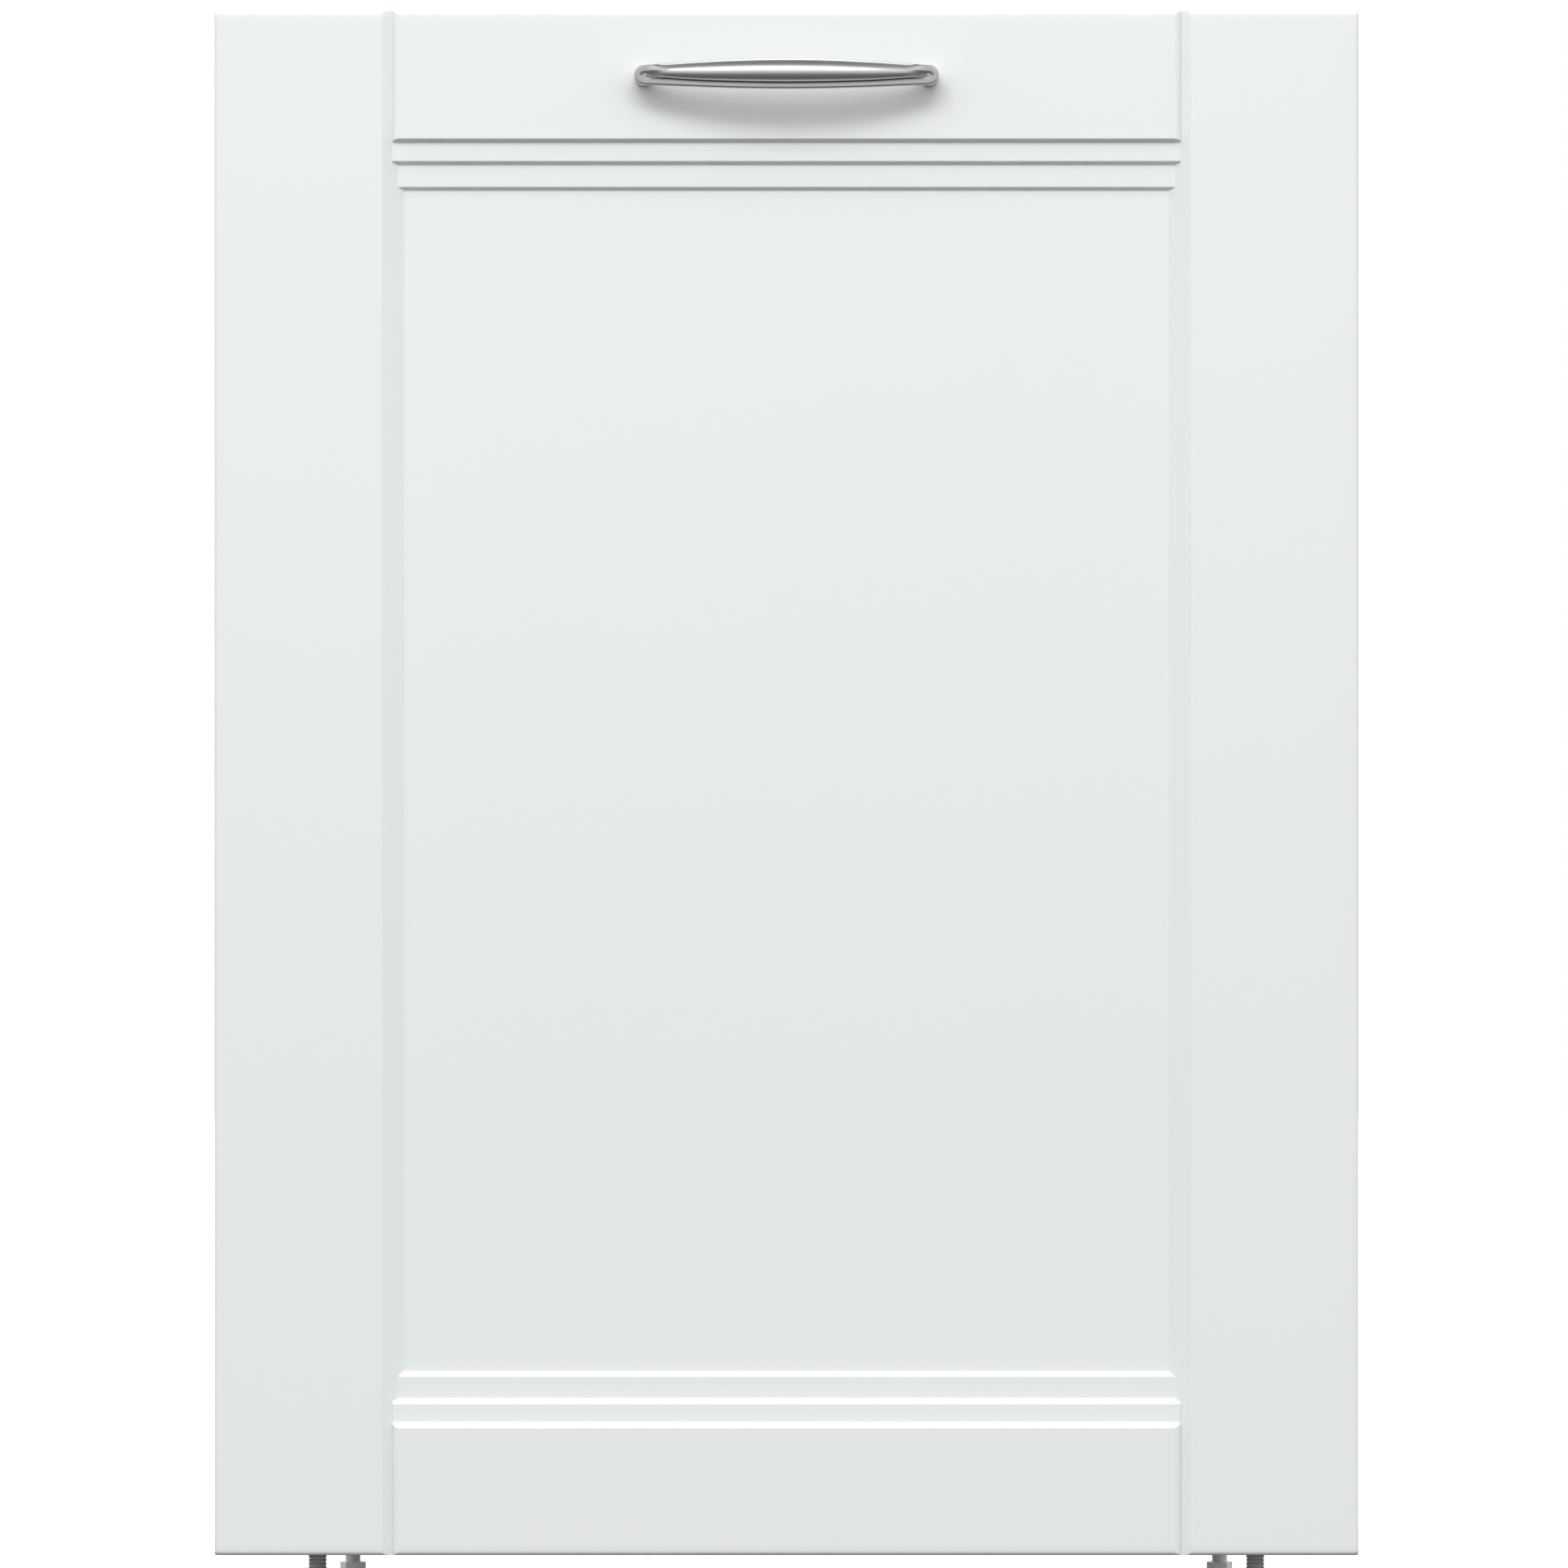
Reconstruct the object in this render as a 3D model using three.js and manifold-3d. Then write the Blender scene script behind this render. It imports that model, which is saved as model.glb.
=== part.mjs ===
// Built-in dishwasher with a stile-and-rail kitchen front and a bow pull.
// Millimetres, +Z up. The front faces -Y, and the origin is on the floor under the middle.
import * as THREE from 'three';
import { mergeVertices } from 'three/addons/utils/BufferGeometryUtils.js';
import Module from 'manifold-3d';

const wasm = await Module();
wasm.setup();

// ---------------------------------------------------------------- driving dimensions
const GAP = 0.3; // between pieces that touch
const DEPTH = 605; // handle to rear edge
const FRONT = { width: 596, height: 805, thick: 22, bottom: 60 };
const HANDLE = { length: 158.4, reach: 33, drop: 35, tall: 16, endTall: 9.6, post: 9.7 };
const FRONT_Y = -DEPTH / 2 + HANDLE.reach; // kitchen front's face
const FRONT_BACK_Y = FRONT_Y + FRONT.thick;
const FRONT_TOP = FRONT.bottom + FRONT.height;
const REAR_Y = DEPTH / 2;

// Stepped moulding inside the frame: half width, top and bottom margins, depth of each level
const MOULDING = [
  { half: 210.7, top: 67.8, bottom: 67.8, depth: 3.4 },
  { half: 206.3, top: 79.3, bottom: 80.1, depth: 6.3 },
  { half: 201.5, top: 92.6, bottom: 94.2, depth: 9 },
];

const DOOR = { half: 293, bottom: 112, top: 835.7, skin: 2, inner: -197, recess: 8 };
const DOOR_SHELL_Y = FRONT_BACK_Y + GAP;
const HINGE = { y: -238, z: 108, pin: 5, bracket: [281, 284], arm: [285, 288] };

const TUB = { half: 279, front: -195, rear: 290, bottom: 150, top: 845, wall: 2 };
const FLANGE = { half: 289, bottom: 141, top: 851, thick: 3, inset: 2 };
const FLOOR = TUB.bottom + TUB.wall;
const LEDGE = { inner: 236, outer: 262, rise: 3.7 };

const BASE = { half: 280, front: -180, bottom: 55, top: 128, wall: 3 };
const SUMP = { x: [-40, 125], y: [-85, 85], bottom: 70, wall: 3 };
const HUB = { x: 0, y: 45, radius: 14 };
const FILTER = { x: 75, y: -30, radius: 34 };

const WIRE = 4;
const LOWER = { half: 250, y: [-170, 262], floor: 200, rim: 330 };
const UPPER = { half: 245, y: [-165, 255], floor: 470, rim: 610 };
const TRAY = { half: 245, y: [-160, 250], floor: 765, rim: 800 };
const WHEEL = { radius: 18, width: 12, x: 246, y: [-64, 156] };
const LEG = { x: 250, y: [-150, 270], rod: 5, foot: 20, top: 128 };

const FASCIA = { half: 293, bottom: 836, top: 860 };
const BUTTON = { width: 24, depth: 14, y: -226, travel: 1.5, proud: 1 };
const BUTTONS = [
  { name: 'power_button', x: -230 },
  { name: 'program_button', x: -180 },
  { name: 'start_button', x: 230 },
];

// ---------------------------------------------------------------- shape helpers

/** Turns a closed geometry into a solid that can be joined and cut. */
function toSolid(geometry) {
  const bare = geometry.clone();
  bare.deleteAttribute('normal');
  bare.deleteAttribute('uv');
  const merged = mergeVertices(bare, 1e-4);
  return new wasm.Manifold(new wasm.Mesh({
    numProp: 3,
    vertProperties: Float32Array.from(merged.attributes.position.array),
    triVerts: Uint32Array.from(merged.index.array),
  }));
}

/** Turns a solid back into a geometry. */
function toGeometry(solid) {
  const mesh = solid.getMesh();
  const geometry = new THREE.BufferGeometry();
  geometry.setAttribute('position', new THREE.BufferAttribute(mesh.vertProperties, 3));
  geometry.setIndex(new THREE.BufferAttribute(mesh.triVerts, 1));
  return geometry;
}

/** Joins any number of closed geometries into one body. */
function join(...pieces) {
  return toGeometry(pieces.map(toSolid).reduce((sum, piece) => sum.add(piece)));
}

/** Cuts any number of closed geometries out of a body. */
function cut(body, ...tools) {
  return toGeometry(tools.map(toSolid).reduce((rest, tool) => rest.subtract(tool), toSolid(body)));
}

/** Keeps what two closed geometries share. */
function common(first, second) {
  return toGeometry(toSolid(first).intersect(toSolid(second)));
}

/** A block between the given limits on each axis. */
function block([x0, x1], [y0, y1], [z0, z1]) {
  const geometry = new THREE.BoxGeometry(x1 - x0, y1 - y0, z1 - z0);
  return geometry.translate((x0 + x1) / 2, (y0 + y1) / 2, (z0 + z1) / 2);
}

/** A round rod along x, y or z, through a point given by its other two coordinates. */
function rod(axis, [u, v], radius, [low, high], sides = 16) {
  const geometry = new THREE.CylinderGeometry(radius, radius, high - low, sides);
  const middle = (low + high) / 2;
  if (axis === 'x') return geometry.rotateZ(-Math.PI / 2).translate(middle, u, v);
  if (axis === 'y') return geometry.translate(u, middle, v);
  return geometry.rotateX(Math.PI / 2).translate(u, v, middle);
}

/** A flat outline, in the two axes across the given one, with its thickness along that axis. */
function plate(axis, outline, [low, high]) {
  const shape = new THREE.Shape(outline.map(([u, v]) => new THREE.Vector2(u, v)));
  const geometry = new THREE.ExtrudeGeometry(shape, { depth: high - low, bevelEnabled: false });
  if (axis === 'z') return geometry.translate(0, 0, low);
  if (axis === 'y') return geometry.translate(0, 0, -high).rotateX(Math.PI / 2);
  return geometry.translate(0, 0, low).rotateZ(Math.PI / 2).rotateY(Math.PI / 2);
}

/** Evenly spaced values from low to high, both included, each on the nearest half millimetre. */
function spread(low, high, count) {
  const step = (high - low) / (count - 1);
  return Array.from({ length: count }, (_, i) => Math.round((low + step * i) * 2) / 2);
}

const finishes = {
  lacquer: { color: 0xe6ebe8, roughness: 0.42, metalness: 0 },
  nickel: { color: 0xa9a8a4, roughness: 0.3, metalness: 1 },
  stainless: { color: 0xb9bbbc, roughness: 0.32, metalness: 1 },
  galvanised: { color: 0x9aa0a3, roughness: 0.5, metalness: 1 },
  blackPlastic: { color: 0x1c1d1f, roughness: 0.5, metalness: 0 },
  greyPlastic: { color: 0x8b9096, roughness: 0.55, metalness: 0 },
  bluePlastic: { color: 0x3f6f9e, roughness: 0.5, metalness: 0 },
  whitePlastic: { color: 0xd9dcdc, roughness: 0.5, metalness: 0 },
  greyNylon: { color: 0x9ba1a6, roughness: 0.6, metalness: 0 },
  felt: { color: 0x3a3a3a, roughness: 0.95, metalness: 0 },
  rubber: { color: 0x26272a, roughness: 0.8, metalness: 0 },
  glass: { color: 0x101418, roughness: 0.1, metalness: 0 },
  board: { color: 0x2d5a3b, roughness: 0.6, metalness: 0 },
};

/** A named sub-part with a material of its own. */
function part(name, geometry, finish, position = [0, 0, 0]) {
  const mesh = new THREE.Mesh(geometry, new THREE.MeshStandardMaterial(finishes[finish]));
  mesh.name = name;
  mesh.position.set(...position);
  return mesh;
}

/** The limits on x of the same piece on the left (-1) or the right (+1). */
function onSide(side, [near, far]) {
  return side > 0 ? [near, far] : [-far, -near];
}

const SIDES = [['left', -1], ['right', 1]];

// ---------------------------------------------------------------- door

/** Kitchen front: stiles and rails round a sunk field with a stepped moulding. */
function kitchenFront() {
  const half = FRONT.width / 2;
  const slab = block([-half, half], [FRONT_Y, FRONT_BACK_Y], [FRONT.bottom, FRONT_TOP]);
  const steps = MOULDING.map((step) => block(
    [-step.half, step.half],
    [FRONT_Y - 1, FRONT_Y + step.depth],
    [FRONT.bottom + step.bottom, FRONT_TOP - step.top],
  ));
  return cut(slab, ...steps);
}

/** Bow pull: a bowed band that narrows to its ends, on two round posts. */
function bowPull() {
  const half = HANDLE.length / 2;
  const frontY = FRONT_Y - HANDLE.reach;
  const endY = FRONT_Y - 13;
  const z = FRONT_TOP - HANDLE.drop;
  const bandThick = 7;
  const across = spread(0, 16, 17).map((i) => half * (i / 8 - 1));
  const bow = (x, peak, edge) => edge + (peak - edge) * (1 - (x / half) ** 2) ** 0.8;
  const outer = across.map((x) => [x, bow(x, frontY, endY)]);
  const inner = across.map((x) => [x, bow(x, frontY + bandThick, endY + 6)]).reverse();
  const band = plate('z', [...outer, ...inner], [z - HANDLE.tall, z + HANDLE.tall]);
  const swell = (x) => (HANDLE.tall - HANDLE.endTall) * Math.cos((x / half) * (Math.PI / 2));
  const edge = (x) => (HANDLE.endTall + swell(x)) / 2;
  const upper = across.map((x) => [x, z + edge(x)]);
  const lower = across.map((x) => [x, z - edge(x)]);
  const lens = plate('y', [...lower, ...upper.reverse()], [frontY - 1, FRONT_Y]);
  const posts = [-1, 1].map((side) => rod(
    'y', [side * (half - HANDLE.post / 2), z], HANDLE.post / 2, [endY - 1, FRONT_Y - GAP], 16,
  ));
  return join(common(band, lens), ...posts);
}

/** Outer steel shell of the door: front, two sides and a floor, open towards the tub. */
function doorShell() {
  const { half, bottom, top, skin } = DOOR;
  const depth = [DOOR_SHELL_Y, -202];
  const sides = [-1, 1].map((s) => block(onSide(s, [half - skin, half]), depth, [bottom, top]));
  const floorHalf = HINGE.bracket[0] - 2.5;
  return join(
    block([-half, half], [DOOR_SHELL_Y, DOOR_SHELL_Y + skin], [bottom, top]),
    ...sides,
    block([-floorHalf, floorHalf], depth, [bottom, bottom + skin]),
  );
}

const DISPENSER = { half: 105, z: [440, 540], front: -203.5, rear: -235 };
const CUP = { x: [-95, -35], z: [455, 515], depth: 24 };
const CAP = { x: 72, z: 490, radius: 18 };

/** Stainless inner door, pressed back over its middle, with a window for the dispenser. */
function doorLiner() {
  const face = DOOR.inner;
  const back = face - 2;
  const recessFace = face - DOOR.recess;
  const slab = block([-288, 288], [recessFace - 2, face], [118, DOOR.top]);
  const window = block(
    [-DISPENSER.half - GAP, DISPENSER.half + GAP],
    [recessFace - 5, face + 1],
    [DISPENSER.z[0] - GAP, DISPENSER.z[1] + GAP],
  );
  const rear = recessFace - 3;
  const rim = [
    block([-300, -242], [rear, back], [100, 860]),
    block([242, 300], [rear, back], [100, 860]),
    block([-300, 300], [rear, back], [100, 168]),
    block([-300, 300], [rear, back], [782, 860]),
  ];
  return cut(slab, block([-240, 240], [recessFace, face + 1], [170, 780]), window, ...rim);
}

/** Top strip of the door, with pockets for its keys and a slot for the strike. */
function controlFascia() {
  const body = block(
    [-FASCIA.half, FASCIA.half], [DOOR_SHELL_Y, DOOR.inner - GAP], [FASCIA.bottom, FASCIA.top],
  );
  const pockets = BUTTONS.map(({ x }) => block(
    [x - BUTTON.width / 2 - 0.4, x + BUTTON.width / 2 + 0.4],
    [BUTTON.y - BUTTON.depth / 2 - 0.4, BUTTON.y + BUTTON.depth / 2 + 0.4],
    [FASCIA.top - 8, FASCIA.top + 1],
  ));
  const displayPocket = block([60 - GAP, 150 + GAP], [-238, -214], [FASCIA.top - 2, FASCIA.top + 1]);
  const strikeSlot = block([-14, 14], [-233, DOOR.inner + 1], [841.5, 857.5]);
  return cut(body, ...pockets, displayPocket, strikeSlot);
}

/** Key on the top strip, with softened corners. */
function key() {
  const [w, d, c] = [BUTTON.width / 2, BUTTON.depth / 2, 2.5];
  const outline = [
    [-w + c, -d], [w - c, -d], [w, -d + c], [w, d - c], [w - c, d], [-w + c, d], [-w, d - c], [-w, -d + c],
  ];
  return plate('z', outline, [-6, BUTTON.proud]);
}

/** Hinge arm: a steel strap up the door's edge, with a round eye for the pin and a spring tail. */
function hingeArm(side) {
  const x = onSide(side, HINGE.arm);
  const { y, z, pin } = HINGE;
  const strap = block(x, [y - 6.9, y + 9], [z, 300]);
  const eye = rod('x', [y, z], 8, x, 24);
  const tail = plate('x', [[y, z - 4], [y + 30, z + 8], [y + 33, z + 16], [y, z + 20]], x);
  const bore = rod('x', [y, z], pin + 0.4, [x[0] - 1, x[1] + 1], 24);
  return cut(join(strap, eye, tail), bore);
}

/** Dispenser: a moulded tray with a detergent cup and a round well for the rinse aid cap. */
function dispenserTray() {
  const body = block([-DISPENSER.half, DISPENSER.half], [DISPENSER.rear, DISPENSER.front], DISPENSER.z);
  const cup = block(CUP.x, [DISPENSER.front - CUP.depth, DISPENSER.front + 1], CUP.z);
  const well = rod('y', [CAP.x, CAP.z], CAP.radius + 0.5, [DISPENSER.front - 9, DISPENSER.front + 1], 24);
  return cut(body, cup, well);
}

/** Sliding lid of the detergent cup, with a raised thumb ridge. */
function dispenserLid() {
  const lidY = [DISPENSER.front + GAP, DISPENSER.front + 2.3];
  const lid = block([CUP.x[0] - 3, CUP.x[1] + 3], lidY, [CUP.z[0] - 3, CUP.z[1] + 3]);
  return join(lid, block([CUP.x[1] - 10, CUP.x[1] - 5], [lidY[0] + 1, lidY[1] + 2], [470, 500]));
}

/** Rinse aid cap, a quarter-turn plug with a grip bar. */
function rinseCap() {
  const base = DISPENSER.front;
  const disc = rod('y', [CAP.x, CAP.z], CAP.radius, [base - 8, base + 1], 24);
  const grip = block([CAP.x - 14, CAP.x + 14], [base, base + 4], [CAP.z - 3, CAP.z + 3]);
  return join(disc, grip);
}

/** Latch hook: a short lever on a cross pin, whose nose rises into the strike's window. */
function latchHook() {
  const lever = block([-6, 6], [-229, -203.5], [843.6, 847.6]);
  const nose = block([-6, 6], [-208, -203.5], [846, 850.9]);
  return join(lever, nose, rod('x', [-227, 846], 2.2, [-11, 11], 12));
}

function buildDoor() {
  const door = new THREE.Group();
  door.add(
    part('custom_front_panel', kitchenFront(), 'lacquer'),
    part('handle', bowPull(), 'nickel'),
    part('outer_door', doorShell(), 'galvanised'),
    part('inner_door', doorLiner(), 'stainless'),
    part('control_fascia', controlFascia(), 'blackPlastic'),
    part('display_window', block([60, 150], [-237.7, -214.3], [FASCIA.top - 1.7, FASCIA.top]), 'glass'),
    part('control_board', block([-250, -110], [-240, -216], [776, 826]), 'board'),
    part('door_seal', block([-272, 272], [DOOR.inner + GAP, DOOR.inner + 2.3], [122, 131]), 'rubber'),
    part('dispenser_housing', dispenserTray(), 'greyPlastic'),
    part('dispenser_lid', dispenserLid(), 'whitePlastic'),
    part('rinse_aid_cap', rinseCap(), 'bluePlastic'),
    part('latch_hook', latchHook(), 'blackPlastic'),
  );
  BUTTONS.forEach(({ name, x }) => door.add(part(name, key(), 'greyPlastic', [x, BUTTON.y, FASCIA.top])));
  SIDES.forEach(([label, side]) => door.add(part(`hinge_arm_${label}`, hingeArm(side), 'galvanised')));
  return door;
}

// ---------------------------------------------------------------- cabinet

/** Stainless tub, open to the front, with a front flange and ledges for wheels and tray. */
function tubShell() {
  const { half, front, rear, bottom, top, wall } = TUB;
  const lip = half - FLANGE.inset;
  const ledges = [-1, 1].flatMap((side) => [
    block(onSide(side, [LEDGE.inner, LEDGE.outer]), [-186, rear - 1], [FLOOR - 1, FLOOR + LEDGE.rise]),
    block(onSide(side, [TRAY.half + 2, half - 1]), [-186, rear - 1], [752, 760]),
  ]);
  const outside = join(
    block([-half, half], [front, rear], [bottom, top]),
    block([-FLANGE.half, FLANGE.half], [front, front + FLANGE.thick], [FLANGE.bottom, FLANGE.top]),
  );
  const inside = block([-lip, lip], [front - 1, rear - wall], [FLOOR, top - wall]);
  const well = block([SUMP.x[0] + 4, SUMP.x[1] - 4], [SUMP.y[0] + 4, SUMP.y[1] - 4], [bottom - 1, FLOOR + 1]);
  return cut(join(cut(outside, inside), ...ledges), well);
}

/** Rubber seal round the sides and top of the tub's mouth. */
function tubSeal() {
  const y = [TUB.front - 1.7, TUB.front - GAP];
  const outer = block([-287, 287], y, [FLANGE.bottom, FLANGE.top - 2]);
  return cut(outer, block([-278.5, 278.5], [y[0] - 1, y[1] + 1], [100, 843.5]));
}

/** Moulded base under the tub: a tray with a tube for each levelling leg. */
function basePan() {
  const { half, front, bottom, top, wall } = BASE;
  const tray = cut(
    block([-half, half], [front, REAR_Y], [bottom, top]),
    block([-half + wall, half - wall], [front + wall, REAR_Y - wall], [bottom + wall, top + 1]),
  );
  const places = LEG.y.flatMap((y) => [-LEG.x, LEG.x].map((x) => [x, y]));
  const tubes = places.map((place) => rod('z', place, LEG.rod + 5, [bottom + 1, 140], 16));
  const bores = places.map((place) => rod('z', place, LEG.rod + 0.6, [bottom - 1, 134], 12));
  return cut(join(tray, ...tubes), ...bores);
}

/** Levelling leg: a threaded rod on a round foot, seated at its own origin on the floor. */
function levellingLeg() {
  const foot = new THREE.LatheGeometry([
    [0, 0], [LEG.foot, 0], [LEG.foot, 4], [LEG.rod, 9], [LEG.rod, LEG.top], [0, LEG.top],
  ].map(([r, z]) => new THREE.Vector2(r, z)), 12);
  return foot.rotateX(Math.PI / 2);
}

/** Sump: a moulded cup under the tub floor, with the post that the lower spray arm turns on. */
function sumpCup() {
  const { x, y, bottom, wall } = SUMP;
  const top = TUB.bottom - GAP;
  const cup = cut(
    block(x, y, [bottom, top]),
    block([x[0] + wall, x[1] - wall], [y[0] + wall, y[1] - wall], [bottom + wall, top + 1]),
  );
  return join(cup, rod('z', [HUB.x, HUB.y], HUB.radius, [bottom + 1, 172], 20));
}

/** Fine filter plate over the sump, with holes for the filter and the spray post. */
function filterPlate() {
  const { x, y } = SUMP;
  const sheet = block([x[0] - 4, x[1] + 4], [y[0] - 4, y[1] + 4], [FLOOR + GAP, FLOOR + 2]);
  return cut(
    sheet,
    rod('z', [FILTER.x, FILTER.y], FILTER.radius + 0.5, [FLOOR - 1, FLOOR + 3], 24),
    rod('z', [HUB.x, HUB.y], HUB.radius + 1, [FLOOR - 1, FLOOR + 3], 20),
  );
}

/** Coarse filter: an open cup with a rim and two ears to turn it by. */
function filterCup() {
  const at = [FILTER.x, FILTER.y];
  const { radius } = FILTER;
  const ears = [-1, 1].map((side) => block(
    [FILTER.x - 6, FILTER.x + 6],
    [FILTER.y + side * (radius - 1) - 3, FILTER.y + side * (radius - 1) + 3],
    [156, 172],
  ));
  return cut(
    join(rod('z', at, radius, [92, 157], 24), rod('z', at, radius + 2.5, [FLOOR + 2.4, 158], 24), ...ears),
    rod('z', at, radius - 2.5, [95, 175], 24),
  );
}

/** Felt and bitumen blanket over both sides, the top and the back of the tub. */
function insulationWrap() {
  const inner = TUB.half + 1.3;
  return cut(
    block([-291, 291], [-188.5, 300], [152, 851]),
    block([-inner, inner], [-191, TUB.rear + 0.6], [151, TUB.top + 1]),
  );
}

/** Spray feed: a duct up the tub's back wall and along its ceiling to a small top sprayer. */
function sprayFeed() {
  const back = TUB.rear - TUB.wall;
  const riser = block([-22, 22], [272, back - GAP], [FLOOR + GAP, 840]);
  const roof = block([-18, 18], [HUB.y, 280], [826, 840]);
  const docking = rod('y', [0, 459], 13, [265, 274], 16);
  return join(riser, roof, docking, rod('z', [HUB.x, HUB.y], 26, [815, 838], 20));
}

/** Fixed side channel that the upper rack's runner slides in. */
function upperRail(side) {
  const inner = TUB.half - FLANGE.inset - GAP;
  return cut(
    block(onSide(side, [261, inner]), [-186, 268], [517, 549]),
    block(onSide(side, [260, inner - 3]), [-187, 269], [520, 546]),
  );
}

/** Top frame: a cross plate with two tabs that screw up into the worktop. */
function topFrame() {
  const plateZ = [856, 858.5];
  const tabs = [-1, 1].map((side) => block(
    [side * 225 - 18, side * 225 + 18], [-192, -150], [857, 862],
  ));
  return join(
    block([-292, 292], [-191.5, -110], plateZ),
    ...[-1, 1].map((side) => block(onSide(side, [14, 292]), [-191.5, -189], [852.4, 857])),
    ...tabs,
  );
}

/** Strike: a tongue with a window, held under the top frame. */
function doorStrike() {
  const tongue = block([-10, 10], [-214, -150], [851.9, 854]);
  const window = block([-7.2, 7.2], [-211.5, -199], [850, 856]);
  return join(cut(tongue, window), block([-10, 10], [-188, -150], [853, 855.7]));
}

/** Hinge bracket: a steel strap from the base, with the pin that the hinge arm turns on. */
function hingeBracket(side) {
  const x = onSide(side, HINGE.bracket);
  const { y, z, pin } = HINGE;
  const outline = [
    [y - 6.8, z + 6], [y - 6.8, z - 4], [y - 3, z - 8], [-190, z - 8], [-60, z - 40], [-60, z + 6],
  ];
  const strap = plate('x', outline, x);
  return join(strap, rod('x', [y, z], pin, onSide(side, [HINGE.bracket[0], HINGE.arm[1] + 1]), 24));
}

/** Door spring lying along the base's side, with a straight hook wire to the hinge arm. */
function doorSpring(side) {
  const at = [side * 287.3, 106];
  return join(rod('y', at, 5.4, [-40, 150], 12), rod('y', at, 1.5, [-196, 190], 8));
}

/** Circulation pump with its flow heater drum. */
function circulationPump() {
  return join(
    rod('x', [70, 101], 38, [-190, -80], 20),
    rod('x', [70, 101], 28, [-85, -52], 20),
    block([-180, -90], [50, 90], [58.5, 75]),
  );
}

/** Drain pump, with its outlet spigot pointing back. */
function drainPump() {
  return join(rod('x', [10, 86], 24, [135, 200], 16), rod('y', [170, 100], 9, [5, 90], 12));
}

/** Inlet valve in the base's rear left corner, with its threaded spout. */
function inletValve() {
  return join(block([-228, -180], [215, 290], [62, 108]), rod('z', [-204, 250], 12, [106, 128], 16));
}

/** Mains terminal box in the base's rear right corner. */
function mainsInlet() {
  return cut(
    block([170, 228], [225, 290], [62, 118]),
    rod('z', [199, 258], 5, [104, 120], 12),
  );
}

function buildCabinet() {
  const cabinet = new THREE.Group();
  cabinet.add(
    part('tub', tubShell(), 'stainless'),
    part('tub_gasket', tubSeal(), 'rubber'),
    part('base_pan', basePan(), 'blackPlastic'),
    part('sump', sumpCup(), 'greyPlastic'),
    part('filter_plate', filterPlate(), 'stainless'),
    part('filter_cylinder', filterCup(), 'greyPlastic'),
    part('float', rod('z', [-214, -150], 15, [FLOOR + 1, 176], 16), 'greyPlastic'),
    part('insulation_wrap', insulationWrap(), 'felt'),
    part('spray_feed_pipe', sprayFeed(), 'greyPlastic'),
    part('top_frame', topFrame(), 'galvanised'),
    part('door_strike', doorStrike(), 'galvanised'),
    part('base_cover', block([-290, 290], [-186, -183.5], [55, 98]), 'blackPlastic'),
    part('circulation_pump', circulationPump(), 'blackPlastic'),
    part('drain_pump', drainPump(), 'blackPlastic'),
    part('inlet_valve', inletValve(), 'whitePlastic'),
    part('mains_inlet', mainsInlet(), 'blackPlastic'),
  );
  SIDES.forEach(([label, side]) => cabinet.add(
    part(`side_panel_${label}`, block(onSide(side, [293.4, 295]), [-190, REAR_Y], [55, 862]), 'galvanised'),
    part(`upper_rail_${label}`, upperRail(side), 'stainless'),
    part(`hinge_bracket_${label}`, hingeBracket(side), 'galvanised'),
    part(`door_spring_${label}`, doorSpring(side), 'galvanised'),
  ));
  LEG.y.forEach((y, row) => SIDES.forEach(([label, side]) => {
    const name = `levelling_leg_${row ? 'rear' : 'front'}_${label}`;
    cabinet.add(part(name, levellingLeg(), 'blackPlastic', [side * LEG.x, y, 0]));
  }));
  return cabinet;
}

// ---------------------------------------------------------------- racks and spray arms

/** Open basket of square wires: a floor grid, uprights on every side and two rims. */
function wireBasket({ half, y, floor, rim }, crossWires, lengthWires, rims) {
  const wire = (centre) => [centre - WIRE / 2, centre + WIRE / 2];
  const floorZ = [floor, floor + WIRE];
  const wallZ = [floor, rim];
  const xs = spread(-half + WIRE / 2, half - WIRE / 2, lengthWires);
  const ys = spread(y[0] + WIRE / 2, y[1] - WIRE / 2, crossWires);
  const sideXs = [xs[0], xs.at(-1)];
  const endYs = [ys[0], ys.at(-1)];
  return [
    ...xs.map((x) => block(wire(x), y, floorZ)),
    ...ys.map((at) => block([-half, half], wire(at), floorZ)),
    ...xs.flatMap((x) => endYs.map((at) => block(wire(x), wire(at), wallZ))),
    ...ys.slice(1, -1).flatMap((at) => sideXs.map((x) => block(wire(x), wire(at), wallZ))),
    ...rims.flatMap((level) => [
      ...endYs.map((at) => block([-half, half], wire(at), [level - WIRE, level])),
      ...sideXs.map((x) => block(wire(x), y, [level - WIRE, level])),
    ]),
  ];
}

/** Lower rack, with a bracket and a stub axle for each wheel. */
function lowerRackFrame() {
  const axleZ = FLOOR + LEDGE.rise + GAP + WHEEL.radius;
  const brackets = WHEEL.y.flatMap((y) => [-1, 1].flatMap((side) => [
    block(onSide(side, [LOWER.half - 1, 258]), [y - 8, y + 8], [205, 225]),
    block(onSide(side, [254, 258]), [y - 8, y + 8], [axleZ - 8, 225]),
    rod('x', [y, axleZ], 4, onSide(side, [WHEEL.x - 6, 256]), 12),
  ]));
  return join(...wireBasket(LOWER, 5, 5, [268, LOWER.rim]), ...brackets);
}

/** Rack wheel with its bore, centred on its own axle. */
function rackWheel() {
  const half = WHEEL.width / 2;
  const bore = rod('x', [0, 0], 4.5, [-half - 1, half + 1], 12);
  return cut(rod('x', [0, 0], WHEEL.radius, [-half, half], 24), bore);
}

/** Folding row of plate tines on a round axle, pivoting at its own origin. */
function tineRow(length, count) {
  const tines = spread(8, length - 8, count).map((x) => rod('z', [x, 0], 1.8, [0, 62], 6));
  return join(rod('x', [0, 0], 2.3, [0, length], 8), ...tines);
}

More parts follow.
